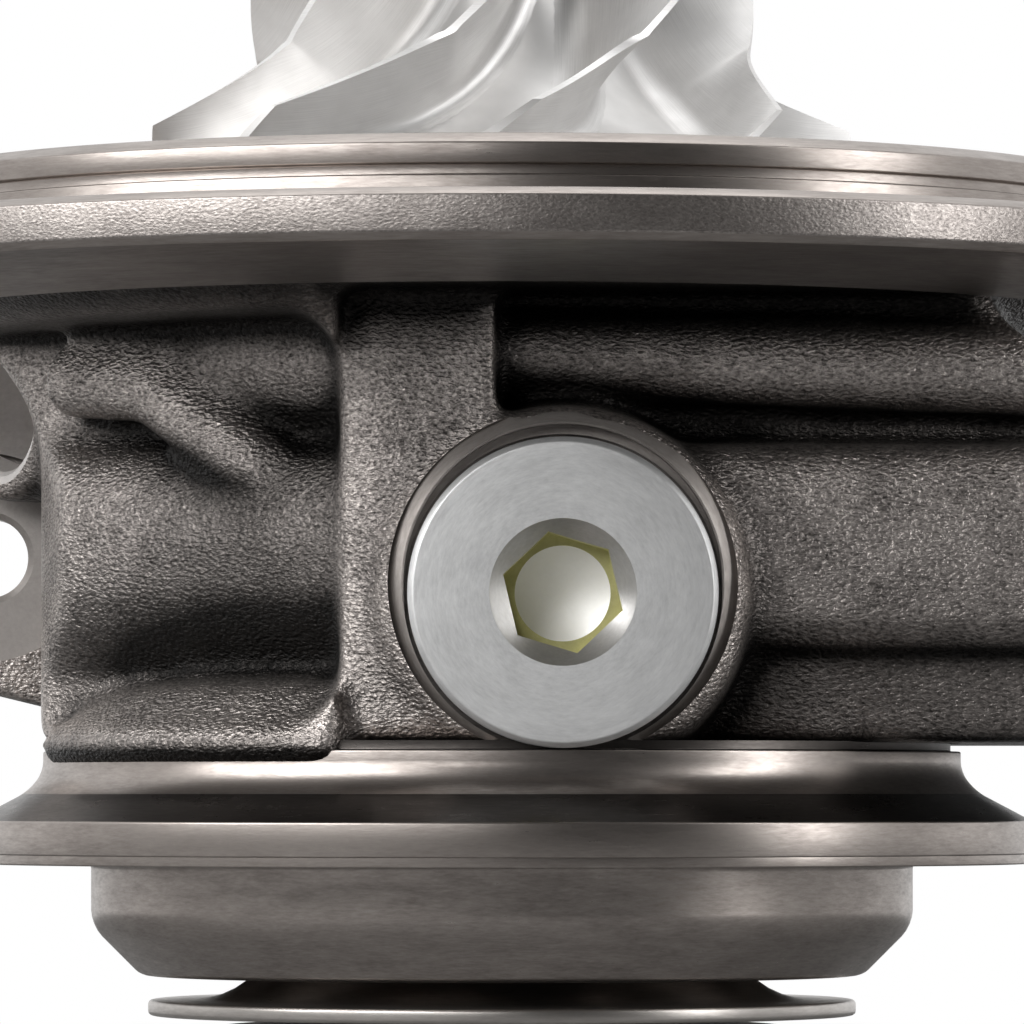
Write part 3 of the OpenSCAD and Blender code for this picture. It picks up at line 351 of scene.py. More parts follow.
finishes = {
    # castIron's last pair is a painted highlight on raised edges and painted shade in hollows
    "castIron": dict(dark=(0.05, 0.045, 0.042), light=(0.54, 0.491, 0.461), metallic=0.9, rough=(0.28, 0.44),
                     grain=2200, bump=1.0, depth=0.21, paintedShadeTone=(1.35, 0.05)),
    "nickelAlloy": dict(dark=(0.20, 0.18, 0.165), light=(0.36, 0.33, 0.30), metallic=1.0, rough=(0.34, 0.5),
                        grain=2600, bump=0.35, depth=0.05),
    "turnedIron": dict(dark=(0.225, 0.198, 0.182), light=(0.46, 0.415, 0.385), rough=(0.25, 0.4),
                       lines=5200, breaks=34, bump=0.5, depth=0.02),
    "rimIron": dict(dark=(0.17, 0.152, 0.142), light=(0.46, 0.42, 0.395), metallic=1.0, rough=(0.31, 0.44),
                    grain=3000, bump=0.5, depth=0.05),
    # painted shade: near-black finish for the dark band on the cone over the V-band rim and the shadow line in the
    # neck's relief groove
    "paintedShadeIron": dict(dark=(0.045, 0.04, 0.037), light=(0.11, 0.1, 0.094), rough=(0.24, 0.36),
                       lines=4200, breaks=30, bump=0.4, depth=0.02),
    "facedIron": dict(dark=(0.32, 0.293, 0.275), light=(0.48, 0.447, 0.425), rough=(0.26, 0.4), metallic=0.55,
                      lines=3600, breaks=30, bump=0.4, depth=0.02),
    # painted light: pale finish in the inlet bore for the light falling into it
    "paintedLightInletIron": dict(dark=(0.56, 0.53, 0.51), light=(0.8, 0.77, 0.75), rough=(0.3, 0.44), metallic=0.4,
                      lines=2400, breaks=24, bump=0.4, depth=0.02),
    "shieldSteel": dict(dark=(0.36, 0.335, 0.315), light=(0.58, 0.55, 0.52), rough=(0.26, 0.4),
                        lines=4200, breaks=20, bump=0.35, depth=0.02),
    # drilled bores; also painted shade on the downward faces under the compressor flange
    "drilledAndShadedIron": dict(dark=(0.16, 0.145, 0.135), light=(0.33, 0.305, 0.29), rough=(0.3, 0.45),
                        lines=3000, breaks=30, bump=0.4, depth=0.02),
    "groundSteel": dict(dark=(0.50, 0.49, 0.48), light=(0.66, 0.65, 0.64), rough=(0.16, 0.26),
                        lines=6000, breaks=12, bump=0.25, depth=0.01),
    "plateSteel": dict(dark=(0.40, 0.39, 0.38), light=(0.56, 0.55, 0.54), rough=(0.28, 0.4),
                       lines=3000, breaks=12, bump=0.35, depth=0.02),
    "bearingBronze": dict(dark=(0.42, 0.27, 0.11), light=(0.66, 0.45, 0.21), rough=(0.24, 0.38),
                          lines=3600, breaks=14, bump=0.35, depth=0.02),
    "springSteel": dict(dark=(0.045, 0.045, 0.05), light=(0.11, 0.11, 0.12), rough=(0.32, 0.46),
                        lines=2200, breaks=18, bump=0.3, depth=0.02),
    "copperWasher": dict(dark=(0.42, 0.20, 0.12), light=(0.66, 0.36, 0.24), rough=(0.26, 0.42),
                         lines=2600, breaks=12, bump=0.3, depth=0.02),
    "sealRubber": dict(dark=(0.012, 0.012, 0.012), light=(0.028, 0.028, 0.028), rough=(0.5, 0.66), metallic=0.0,
                       lines=900, breaks=60, bump=0.2, depth=0.02),
    "nutSteel": dict(dark=(0.10, 0.098, 0.095), light=(0.22, 0.215, 0.21), rough=(0.3, 0.44),
                     lines=2600, breaks=20, bump=0.35, depth=0.02),
    "wheelAluminium": dict(dark=(0.66, 0.65, 0.64), light=(0.86, 0.85, 0.84), rough=(0.38, 0.5), metallic=0.8,
                           stretch=(6, 900, 1), bump=0.3, depth=0.02),
}
plugAxis = dict(centre=(-0.0045, 0.0203, 0), turned=(math.pi / 2, 0, 0))
finishes["plugSteel"] = dict(dark=(0.5, 0.5, 0.5), light=(0.84, 0.84, 0.835), rough=(0.42, 0.54), metallic=0.75,
                             lines=4200, breaks=10, bump=0.4, depth=0.02, **plugAxis)
finishes["plugCone"] = dict(dark=(0.9, 0.89, 0.88), light=(0.96, 0.95, 0.94), rough=(0.4, 0.5), metallic=0.5,
                            lines=2500, breaks=6, bump=0.3, depth=0.02, **plugAxis)
finishes["plugMouth"] = dict(dark=(0.44, 0.43, 0.42), light=(0.64, 0.63, 0.62), rough=(0.27, 0.37), metallic=0.9,
                             lines=4200, breaks=10, bump=0.3, depth=0.02, **plugAxis)
finishes["plugEdge"] = dict(dark=(0.24, 0.217, 0.202), light=(0.44, 0.405, 0.38), rough=(0.42, 0.54), metallic=0.7,
                            lines=4200, breaks=14, bump=0.4, depth=0.02, **plugAxis)
finishes["plugSocket"] = dict(dark=(0.52, 0.50, 0.22), light=(0.74, 0.71, 0.40), rough=(0.3, 0.4), metallic=0.7,
                              lines=1500, breaks=6, bump=0.2, depth=0.01, **plugAxis)

castNames = ("castIron", "nickelAlloy", "rimIron")
makers = {name: castMetal if name in castNames else milledMetal if name == "wheelAluminium" else turnedMetal
          for name in finishes}
metals = {name: makers[name](name, look) for name, look in finishes.items()}
print("materials made,", len(metals))


# Casting: rough forms are blended into one skin, and machining is cut after that
casting = dict(
    barrelR=36.0, bottom=9.3, top=44.0, underZ=42.55, cutTop=43.0, reach=60.0,
    flareR=45.2, flareFrom=36.5, flareTo=43.6, flareRound=5.0,
    lipBottom=7.4, lipEdge=9.3, lipTop=13.4, lipRise=1.8, lipR=36.9, lipUnder=35.8, lipShelf=31.5, lipInner=25.0,
    lipFrom=193, lipSweep=57, lipCorner=3.2,
    pocketTurn=40, pocketFloor=26.2, pocketBottom=10.6, pocketTop=41.2, pocketCorner=4.0,
    pocketLeft=-24.7, pocketRight=13.5, panelEnd=(-18.5, 30.7),
    pocketPanel=[(20, 13.4), (25.4, 13.4), (27.3, 15.6), (29.2, 18.2), (30.3, 21), (30.7, 24.5), (30.5, 27.5),
                 (29.7, 29.6), (28.2, 31.4), (26, 32.6), (20, 32.6)],
    pocketRoof=[(20, 31.6), (26.4, 31.6), (28.8, 34.6), (29.9, 37.4), (30.2, 42), (20, 42)],
    roofFrom=-9.0, roofFill=((-18.5, -30.2, 37.5), (-8, -20, 42)),
    bentRidgeR=2.9, bentRidge=[(-20, 31.4, 37.2), (-10.8, 31.6, 36.6), (-1, 31.4, 30.8), (7, 28.2, 26.2)],
    columnFrom=-12.1, columnTo=-0.5, columnEdge=3.0, columnLean=1.8, columnRise=0.2, frontY=33.5, frontStep=2.2,
    plugX=4.5, plugZ=20.3, plugRingR=12.65, plugRingY=34.3, plugRise=0.7, plugSpotR=11.8, plugSeatY=32.0,
    plugHoleR=9.02, plugHoleEnd=20.0, bossFoot=4.0, bossHead=1.2, bossFill=(1, 3, 6),
    chamberY=26.5, chamberEnd=46, chamberTop=37, chamberIn=-10, barrelZ=24.1, barrelIn=4.0, longBarrelR=8.2,
    chamberFront=[(0, 9.3), (24.2, 9.3), (27, 16.2), (26.4, 18), (25, 31), (25, 37), (0, 37)], frontFloor=24.2,
    panel=[(20, 16.3), (28.6, 16.3), (30.3, 18.4), (30.9, 22), (31, 26), (30.6, 29), (29.6, 30.7), (28, 31.6),
           (20, 31.6)],
    ridgeFrom=-2.0, ridgeY=27.2, ridgeZ=38.5, ridgeEndZ=36.9, ridgeR=3.3, ridgeFoot=2.0,
    slopeX=36.7, slopeW=4.5, slopeBack=0.9, slopeLift=0.4, slopeWay=(0.8, 0, 0.6),
    drainX=55, drainZ=23, drainR=9, drainEnd=9, drainWall=5, boltSpacing=40, boltR=3.4, boltDepth=14,
    earX=-41.0, earY=12, earZ=24.2, earR=10.5, earT=7, earHoleR=3.2, earRim=2.2, earLean=15, earRoot=12,
    inletFace=(-39.5, 6, 36.1), inletWay=(-0.8387, -0.5446, 0), inletBossR=7.65, inletBossL=24, inletR=5.25,
    inletSpot=1.05, inletDepth=12,
    coolantX=15, coolantY=38, coolantZ=22, coolantBossR=10.25, coolantR=6.25, coolantDepth=13, webZ=3, webY=4,
    rotorBore=[(0, 6), (7.3, 6), (7.3, 16.5), (9.0, 17.3), (9.0, 21.4), (7.3, 22.2), (7.3, 33), (12, 33), (12, 36),
               (21.82, 36), (21.82, 50), (0, 50)],
    skin=0.8, voxel=0.54, filletRounds=26)


def roughBarrel(c):
    return turn([(0, c["bottom"]), (c["barrelR"], c["bottom"]), (c["barrelR"], c["flareFrom"], c["flareRound"]),
                 (c["flareR"], c["flareTo"]), (c["flareR"], c["top"]), (0, c["top"])], closed=False)


def pocketLip(c):
    # sloped shelf under the pocket, round at its lower right corner
    bm = bmesh.new()
    low, top, bottom = c["lipInner"], c["lipTop"], c["lipBottom"]
    corners = [(low, bottom), (c["lipUnder"], bottom), (c["lipR"], c["lipEdge"]), (c["lipShelf"], top),
               (low, top + c["lipRise"])]
    bm.faces.new([bm.verts.new((x * mm, 0, z * mm)) for x, z in corners])
    end = math.radians(c["lipSweep"])
    bmesh.ops.spin(bm, geom=bm.faces[:] + bm.edges[:] + bm.verts[:], cent=(0, 0, 0), axis=(0, 0, 1),
                   angle=end, steps=40, use_merge=False)
    last = [e for e in bm.edges if all(abs(v.co.z - bottom * mm) < 1e-6 and
                                       abs(math.atan2(v.co.y, v.co.x) - end) < 1e-4 for v in e.verts)]
    roundEdges(bm, last, c["lipCorner"], 6)
    return tidy(placed(bm, Matrix.Rotation(math.radians(c["lipFrom"]), 4, "Z")))


def pocketCutter(c):
    # drawn from the front, then trimmed at the turned floor plane
    reach = c["reach"]
    bm = block((-reach, -reach, c["pocketBottom"]), (c["columnFrom"], 0, c["pocketTop"]))
    right = [e for e in bm.edges if all(v.co.x > -reach / 2 * mm for v in e.verts)
             and abs((e.verts[0].co - e.verts[1].co).y) > reach / 2 * mm]
    roundEdges(bm, right, c["pocketCorner"], 8)
    way = Matrix.Rotation(math.radians(-c["pocketTurn"]), 3, "Z") @ Vector((0, -1, 0))
    return trim(bm, way * c["pocketFloor"], way, inner=True)


def pocketForms(c):
    # a bulged panel, a sloped wall over it, and a ridge that runs down from the edge to the panel
    r, left, right, (endT, endN) = c["bentRidgeR"], c["pocketLeft"], c["pocketRight"], c["panelEnd"]
    ends = [Vector((t, r - n, z)) for t, n, z in c["bentRidge"]]
    panel = prism([(left, -n, z) for n, z in c["pocketPanel"]], (right - left, 0, 0))
    roof = prism([(c["roofFrom"], -n, z) for n, z in c["pocketRoof"]], (right - c["roofFrom"], 0, 0))
    parts = [trim(panel, (endT, -endN, 0), (c["pocketFloor"] - endN, left - endT, 0)), roof, block(*c["roofFill"])]
    parts += [rod(a, b, r) for a, b in zip(ends, ends[1:])]
    return [placed(bm, Matrix.Rotation(math.radians(-c["pocketTurn"]), 4, "Z")) for bm in parts]


def drainChamber(c):
    side, end, barrelY = c["chamberY"], c["chamberEnd"] + 1, c["chamberY"] - c["barrelIn"]
    parts = [block((0, c["chamberIn"], c["bottom"]), (end, side, c["chamberTop"])),
             prism([(0, -n, z) for n, z in c["chamberFront"]], (end, 0, 0)),
             prism([(0, -n, z) for n, z in c["panel"]], (end, 0, 0)),
             rod((0, barrelY, c["barrelZ"]), (end, barrelY, c["barrelZ"]), c["longBarrelR"])]
    start, stop, y = c["ridgeFrom"], c["slopeX"] + c["slopeW"], -c["ridgeY"]
    low, high = c["ridgeZ"] - c["ridgeFoot"], c["underZ"] + 1
    top = prism([(start, y, low), (start, y, high), (c["slopeX"] - c["slopeBack"], y, high), (stop, y, low)],
                (0, side - y, 0))
    ridge = rod((start, y, c["ridgeZ"]), (stop, y, c["ridgeEndZ"]), c["ridgeR"])
    return parts + [top, trim(ridge, (c["slopeX"], 0, c["underZ"] + c["slopeLift"]), c["slopeWay"])]


def drainFlange(c):
    x, z, wall, apart = c["chamberEnd"], c["drainZ"], c["drainWall"], c["boltSpacing"] / 2
    rounds = [(0, c["drainR"] + wall), (-apart, c["boltR"] + wall), (apart, c["boltR"] + wall)]
    return wrapped([rod((x, y, z), (c["drainX"] + c["skin"], y, z), r) for y, r in rounds])


def plugBoss(c):
    # the boss stops level with the casting's underside
    x, z, front, bottom = c["plugX"], c["plugZ"], c["frontY"], c["bottom"]
    left, right, ring = c["columnFrom"], c["columnTo"], c["plugRingR"]
    column = prism([(left, 0, bottom), (left, -front + c["columnLean"], bottom),
                    (right, -front - c["columnRise"], bottom), (right, 0, bottom)], (0, 0, c["underZ"] + 1 - bottom))
    edge = [e for e in column.edges if all(v.co.x < (left + 1) * mm and v.co.y < -front / 2 * mm for v in e.verts)]
    roundEdges(column, edge, c["columnEdge"], 5)
    inX, inY, outX = c["bossFill"]
    parts = [
        column,
        rod((x, 0, z), (x, -front, z), ring + c["bossFoot"], ring + c["bossHead"]),
        rod((x, 0, z), (x, -c["plugRingY"] - 0.5, z), ring + 0.3),
        block((left + inX, -front + inY, bottom), (x + outX, 0, z))]
    return [trim(bm, (0, 0, bottom), (0, 0, 1), inner=True) for bm in parts]


def bracketEar(c):
    lean = math.radians(c["earLean"])
    inner = -c["barrelR"] + c["earRoot"]
    edge = c["earR"] * math.cos(lean) + (inner - c["earX"]) * math.tan(lean)
    low, high = c["earY"] - c["skin"], c["earY"] + c["earT"] + c["skin"]
    return wrapped([rod((c["earX"], low, c["earZ"]), (c["earX"], high, c["earZ"]), c["earR"]),
                    block((inner - 1, low, c["earZ"] - edge), (inner, high, c["earZ"] + c["earR"]))])


def portBosses(c):
    face, way = Vector(c["inletFace"]), Vector(c["inletWay"])
    parts = [rod(face - c["inletBossL"] * way, face + 0.3 * way, c["inletBossR"])]
    x, y, z, half = c["coolantX"], c["coolantY"], c["coolantZ"], c["coolantBossR"] - c["webZ"]
    for side in (-x, x):
        parts.append(rod((side, 0, z), (side, y + c["skin"], z), c["coolantBossR"]))
    return parts + [block((-x, 0, z - half), (x, y - c["webY"], z + half))]


def drill(point, way, r, depth, mouth=0.8):
    # a blind hole with a countersunk mouth
    bm = turn([(0, -depth - r * 0.5), (r, -depth), (r, -mouth), (r + mouth, 0), (r + mouth, 6), (0, 6)],
              closed=False, steps=72)
    return placed(bm, facing(point, way))


def inletHole(c):
    # tapped oil inlet with its spot face
    r, depth = c["inletR"], c["inletDepth"]
    spot = r + c["inletSpot"]
    inlet = turn([(0, -depth - r * 0.5), (r, -depth), (r, -0.4), (r + 0.4, 0), (spot, 0), (spot, 10), (0, 10)],
                 closed=False, steps=72)
    return placed(inlet, facing(c["inletFace"], c["inletWay"]))


def machinedFaces(c):
    # mills the drain flange and the two coolant bosses flat
    return join([
        block((c["drainX"], -45, 0), (c["drainX"] + 8, 45, 45)),
        block((-32, c["coolantY"], 5), (32, c["coolantY"] + 8, 40))])


def machinedHoles(c):
    x, z = c["drainX"], c["drainZ"]
    tools = [drill((x, 0, z), (1, 0, 0), c["drainR"], x - c["drainEnd"], 1.0)]
    for side in (-1, 1):
        tools.append(drill((x, side * c["boltSpacing"] / 2, z), (1, 0, 0), c["boltR"], c["boltDepth"]))
        tools.append(drill((side * c["coolantX"], c["coolantY"], c["coolantZ"]), (0, 1, 0),
                           c["coolantR"], c["coolantDepth"], 1.0))
    return join(tools)


def plugEdge(c):
    # outward sloping edge of the boss, turned a little above the plug
    r, ring, y, floor = c["plugSpotR"], c["plugRingR"], c["plugRingY"], c["plugSeatY"] + 0.6
    bm = turn([(0, floor), (r, floor), (r, y - 0.1), (r + 0.15, y), (ring - 0.3, y - 0.3), (ring + 0.3, y - 0.9),
               (ring + 0.4, 40), (0, 40)], closed=False, steps=160)
    return placed(bm, facing((c["plugX"], 0, c["plugZ"] + c["plugRise"]), (0, -1, 0)))


def plugHole(c):
    # tapped hole, and a spot face for the washer
    r, hole, seat, end = c["plugSpotR"], c["plugHoleR"], c["plugSeatY"], c["plugHoleEnd"]
    bm = turn([(0, end), (hole, end), (hole, seat), (r, seat), (r, 40), (0, 40)], closed=False, steps=160)
    return placed(bm, facing((c["plugX"], 0, c["plugZ"]), (0, -1, 0)))


def earHole(c):
    # the bolt hole with a spot face on each side
    r, t, spot = c["earHoleR"], c["earT"], c["earR"] - c["earRim"]
    ear = turn([(0, -2), (spot, -2), (spot, 0), (r + 0.5, 0), (r, 0.5), (r, t - 0.5), (r + 0.5, t), (spot, t),
                (spot, t + 2), (0, t + 2)], closed=False, steps=72)
    return placed(ear, facing((c["earX"], c["earY"], c["earZ"]), (0, 1, 0)))


def blendSkin(obj, size, rounds):
    skin = obj.modifiers.new("skin", "REMESH")
    skin.mode = "VOXEL"
    skin.voxel_size = size * mm
    if rounds:
        soften = obj.modifiers.new("fillet", "SMOOTH")
        soften.factor = 0.5
        soften.iterations = rounds
    applyModifiers(obj)


# Painted shade on the casting: its amount in each zone, which comes in over the given stretches; a negative amount
# paints light
scale = dict(rounds=90, reach=0.9, everywhere=0.2, undersides=0.8, zones=dict(
    underFlange=(0.8, [("z", 38, 43)]), bottom=(0.7, [("z", 10, 8)]), inward=(0.7, [("r", 34, 27)]),
    lipFront=(0.6, [("z", 11.4, 8.8), ("r", 34.5, 36)]), pocketTop=(-0.4, [("x", -12, -14), ("z", 33, 36)]),
    pocketPanel=(0.18, [("x", -12, -14), ("z", 33, 31), ("z", 16, 18)]),
    pocketCorner=(-0.25, [("x", -12, -14), ("z", 16, 14.5), ("z", 12.5, 13.5)])))


def share(value, start, end):
    return min(max((value - start) / (end - start), 0), 1)


def paintShade(obj, c):
    # painted shade: how far each point lies below a much softer skin, plus downward facing and the zones: 0 on raised
    # edges, 1 in hollows
    soft = bpy.data.objects.new("soft", obj.data.copy())
    scene.collection.objects.link(soft)
    step = soft.modifiers.new("soft", "SMOOTH")
    step.factor = 0.5
    step.iterations = c["rounds"]
    applyModifiers(soft)
    marks = obj.data.attributes.new("paintedShade", "FLOAT", "POINT").data
    for mark, vert, ref in zip(marks, obj.data.vertices, soft.data.vertices):
        at = dict(x=vert.co.x / mm, z=vert.co.z / mm, r=vert.co.xy.length / mm)
        depth = (ref.co - vert.co).dot(vert.normal) / (c["reach"] * mm) - c["undersides"] * min(vert.normal.z, 0)
        for amount, stretches in c["zones"].values():
            depth += amount * math.prod(share(at[axis], start, end) for axis, start, end in stretches)
        mark.value = min(max(depth + c["everywhere"], 0), 1)
    mesh = soft.data
    bpy.data.objects.remove(soft)
    bpy.data.meshes.remove(mesh)


def makeCasting(c):
    obj = makeObject("castBody", roughBarrel(c), [metals["castIron"]])
    blendSkin(obj, c["voxel"], 0)
    cut(obj, pocketCutter(c))
    reach, low = c["reach"], c["bottom"] - 1
    for x, y in ((c["columnFrom"], c["frontY"] - c["frontStep"]), (c["columnTo"], c["frontFloor"])):
        cut(obj, block((x, -reach, low), (reach, -y, c["cutTop"])))
    whole = bmesh.new()
    whole.from_mesh(obj.data)
    parts = [whole, drainFlange(c), bracketEar(c), pocketLip(c)] + pocketForms(c)
    whole = join(parts + drainChamber(c) + plugBoss(c) + portBosses(c))
    whole.to_mesh(obj.data)
    whole.free()
    blendSkin(obj, c["voxel"], c["filletRounds"])
    paintShade(obj, scale)
    # the inlet bore's pale finish is painted light
    for tool, finish in ((machinedFaces, "facedIron"), (inletHole, "paintedLightInletIron"), (machinedHoles, "drilledAndShadedIron"),
                         (earHole, "facedIron"), (plugEdge, "plugEdge"), (plugHole, "drilledAndShadedIron")):
        cut(obj, tool(c), metals[finish])
    cut(obj, turn(c["rotorBore"], closed=False, steps=96), metals["drilledAndShadedIron"])
    return dress(obj, "housing", ["bearing_housing"])


makeCasting(casting)


# Turned ends of the casting
compressorEnd = dict(
    faceZ=53.4, seatZ=48.7, rimR=58, spigotR=48.2, rimBottom=44.85, underR=46.6, underZ=42.55, flareR=45.2,
    chamfer=0.6, spigotChamfer=0.8, grooveZ=50.25, grooveW=0.8, grooveDepth=0.6,
    recessR=28.2, recessZ=50.9, plateR=24.02, clipR=25.4, clipZ=48.9, clipH=1.3, backZ=43.4, edge=0.12)
turbineEnd = dict(
    rimR=41.35, rimStep=0.15, rimStepH=0.75, rimH=3.3, coneTop=5.5, neckR=35.8, neckTop=9.4, reliefR=35.0,
    reliefH=0.7, spigotR=32.05, spigotEnd=-4.8, chamferEnd=-8.7, hollowR=24, hollowZ=-3, seatR=15, seatZ=-5.75,
    noseR=10.4, noseEnd=-8.25, sealR=8.8, boreR=7.3, slingerR=12, slingerLow=-1.65, slingerTop=4.35, edge=0.12)


def paint(obj, slot, low, high, r, inside):
    # gives another finish to the faces between two heights that lie outside r and tilt as inside says
    for face in obj.data.polygons:
        if low < face.center.z / mm < high and face.center.xy.length > r * mm and inside(face.normal.z):
            face.material_index = slot


def makeCompressorEnd(c):
    e, ch, back, plate, clip = c["edge"], c["chamfer"], c["backZ"], c["plateR"], c["clipZ"]
    spigot, face, grooveR = c["spigotR"], c["faceZ"], c["spigotR"] - c["grooveDepth"]
    groove, grooveTop, clipTop = c["grooveZ"], c["grooveZ"] + c["grooveW"], c["clipZ"] + c["clipH"]
    bm = turn([
        (plate, back), (plate, clip), (c["clipR"], clip), (c["clipR"], clipTop), (plate, clipTop),
        (plate, c["recessZ"], e), (c["recessR"], c["recessZ"], e), (c["recessR"], face, e),
        (spigot - 2 * c["spigotChamfer"], face, e), (spigot, face - c["spigotChamfer"], e), (spigot, grooveTop, e),
        (grooveR, grooveTop, e), (grooveR, groove, e), (spigot, groove, e), (spigot, c["seatZ"], e),
        (c["rimR"] - 2 * ch, c["seatZ"], e), (c["rimR"], c["seatZ"] - ch, e), (c["rimR"], c["rimBottom"] + ch, e),
        (c["rimR"] - ch, c["rimBottom"], e), (c["underR"], c["underZ"], e), (c["flareR"], c["underZ"] + 1),
        (c["flareR"] - 1.5, back)], steps=256)
    obj = makeObject("compressorFlange", bm, [metals["turnedIron"], metals["drilledAndShadedIron"], metals["rimIron"]])
    # painted shade: the downward faces under the flange take the darker drilled finish
    paint(obj, 1, c["underZ"] - 0.5, c["rimBottom"] + 0.1, 0, lambda up: up < -0.85)
    paint(obj, 2, c["rimBottom"], c["seatZ"], c["rimR"] - 1.2, lambda up: abs(up) < 0.6)
    return dress(obj, "housing", ["bearing_housing"])


def makeTurbineEnd(c):
    e, neck, relief = c["edge"], c["neckR"], c["neckTop"] - c["reliefH"]
    rim, step = c["rimR"], c["rimR"] - c["rimStep"]
    bm = turn([
        (c["sealR"], c["noseEnd"]), (c["noseR"], c["noseEnd"], e), (c["noseR"], c["seatZ"]),
        (c["seatR"], c["seatZ"], e), (c["seatR"], c["hollowZ"], 1.5), (c["hollowR"], c["hollowZ"], 1.5),
        (c["hollowR"], c["chamferEnd"], e), (c["spigotR"] + c["chamferEnd"] - c["spigotEnd"], c["chamferEnd"], 0.6),
        (c["spigotR"], c["spigotEnd"], 1.2), (c["spigotR"], 0, 0.4), (step, 0, e), (step, c["rimStepH"]),
        (rim, c["rimStepH"], e), (rim, c["rimH"], e), (neck + 1.2, c["coneTop"] + 0.1, 0.8),
        (neck, c["coneTop"] + 1.6, 0.8), (neck, relief, 0.15), (c["reliefR"], relief, 0.1),
        (c["reliefR"], c["neckTop"]), (c["boreR"], c["neckTop"]), (c["boreR"], c["slingerTop"]),
        (c["slingerR"], c["slingerTop"]), (c["slingerR"], c["slingerLow"]), (c["sealR"], c["slingerLow"] - 1)],
        steps=256)
    obj = makeObject("turbineFlange", bm, [metals["turnedIron"], metals["paintedShadeIron"]])
    # painted shade: the upward cone over the rim and the relief groove take the near-black finish
    paint(obj, 1, c["rimH"] + 0.05, c["coneTop"], neck, lambda up: up > 0.6)
    paint(obj, 1, relief - 0.05, c["neckTop"], c["reliefR"] - 1, lambda up: True)
    return dress(obj, "housing", ["bearing_housing"])


makeCompressorEnd(compressorEnd)
makeTurbineEnd(turbineEnd)


# Core plug and its washer
plug = dict(x=4.5, z=20.3, headR=11.5, faceY=36.0, seatY=33.2, chamfer=0.4, threadR=9.0, threadEnd=21.0, pitch=1.5,
            hexFlats=8, hexDepth=4.6, coneR=3.56, mouthR=5.4, mouthDepth=1.3, turned=13.3, washerR=11.2, washerY=32.0)


def makePlug(c):
    # built along +Z with its face up, then turned to look along -Y
    r, head, face, seat = c["threadR"], c["headR"], c["faceY"], c["seatY"]
    thread = []
    y = c["threadEnd"] + 1
    while y < seat - 2.5:
        thread += [(r - 0.75, y), (r - 0.05, y + c["pitch"] * 0.45), (r - 0.05, y + c["pitch"] * 0.6)]
        y += c["pitch"]
    bm = turn([(0, c["threadEnd"]), (r - 0.9, c["threadEnd"])] + thread + [
        (r - 0.8, seat - 1.2), (r - 0.8, seat), (head, seat, 0.15), (head, face - c["chamfer"], 0.1),
        (head - c["chamfer"], face, 0.1), (0, face)], closed=False, steps=144)
    obj = makeObject("corePlug", bm, [metals["plugSteel"]])
    mouth = turn([(0, face - c["mouthDepth"]), (c["hexFlats"] / 2, face - c["mouthDepth"]),
                  (c["mouthR"] - 0.1, face - 0.15), (c["mouthR"] + 0.15, face + 0.1), (0, face + 0.1)],
                 closed=False, steps=144)
    cut(obj, mouth, metals["plugMouth"])
    corner, floor = c["hexFlats"] / 2 / math.cos(math.radians(30)), face - c["hexDepth"]
    socket = rod((0, 0, floor), (0, 0, face + 2), corner, segments=6)
    cut(obj, placed(socket, Matrix.Rotation(math.radians(c["turned"]), 4, "Z")), metals["plugSocket"])
    cone = turn([(0, floor - 1.4), (c["coneR"], floor - 0.1), (c["coneR"], floor + 0.6), (0, floor + 0.6)],
                closed=False, steps=96)
    cut(obj, cone, metals["plugCone"])
    obj.data.transform(facing((c["x"], 0, c["z"]), (0, -1, 0)))
    return dress(obj, "housing", ["core_plug"])


def makeWasher(c):
    bm = turn([(c["threadR"] + 0.1, c["washerY"], 0.15), (c["washerR"], c["washerY"], 0.3),
               (c["washerR"], c["seatY"], 0.3), (c["threadR"] + 0.1, c["seatY"], 0.15)], steps=96)
    obj = makeObject("plugWasher", placed(bm, facing((c["x"], 0, c["z"]), (0, -1, 0))), [metals["copperWasher"]])
    return dress(obj, "housing", ["core_plug_washer"])


makePlug(plug)
makeWasher(plug)


# Heat shield
shield = dict(rimR=27.6, rimZ=-10.6, sheet=1.2, rimIn=21.7, crownR=16, seatZ=-5.75, holeR=10.42)


def makeShield(c):
    t, seat, rim = c["sheet"], c["seatZ"], c["rimZ"]
    bm = turn([(c["holeR"], seat, 0.2), (c["crownR"], seat, 1.8), (c["rimIn"], rim, 2.2), (c["rimR"], rim, 0.35),
               (c["rimR"], rim - t, 0.35), (c["rimIn"] - t * 0.5, rim - t, 1.4),
               (c["crownR"] - t * 0.5, seat - t, 1.2), (c["holeR"], seat - t, 0.2)])
    obj = makeObject("heatShield", bm, [metals["shieldSteel"]])
    return dress(obj, "housing", ["heat_shield"])


makeShield(shield)


# Wheels: each blade is a pair of grids on the hub and shroud curves, flared into the hub
compressorWheel = dict(
    radius=27.5, edge=0.1, inducerR=19.7, hubR=6.8, baseZ=53.4, length=19.6, tipH=4.1, bend=5.9, wrap=56, lean=12,
    blades=8, turned=-84.4, rootT=1.1, tipT=0.55, fillet=1.7, backT=1.7, noseZ=75.4, backZ=50.6, backR=8.5,
    boreR=3.02, rows=56, columns=22)
turbineWheel = dict(
    radius=22, edge=0.15, exducerR=19.2, hubR=5.5, backZ=-12.65, length=21, disc=1.6, tipH=6, wrap=40, rootArc=85,
    blades=11, rootT=1.5, tipT=0.8, fillet=1.3, bossR=8.5, weldZ=-11.15, noseZ=-38.15, noseR=4.6, noseEdge=0.35,
    rows=36, columns=16)


def bezier(a, b, c, t):
    return [(1 - t) ** 2 * p + 2 * t * (1 - t) * q + t * t * r for p, q, r in zip(a, b, c)]


def compressorHub(w, s):
    a = math.radians(90 * s)
    return (w["hubR"] + (w["radius"] - w["edge"] - w["hubR"]) * (1 - math.sin(a)),
            w["baseZ"] + w["length"] * (1 - math.cos(a)), -w["lean"] + (w["wrap"] + w["lean"]) * s)


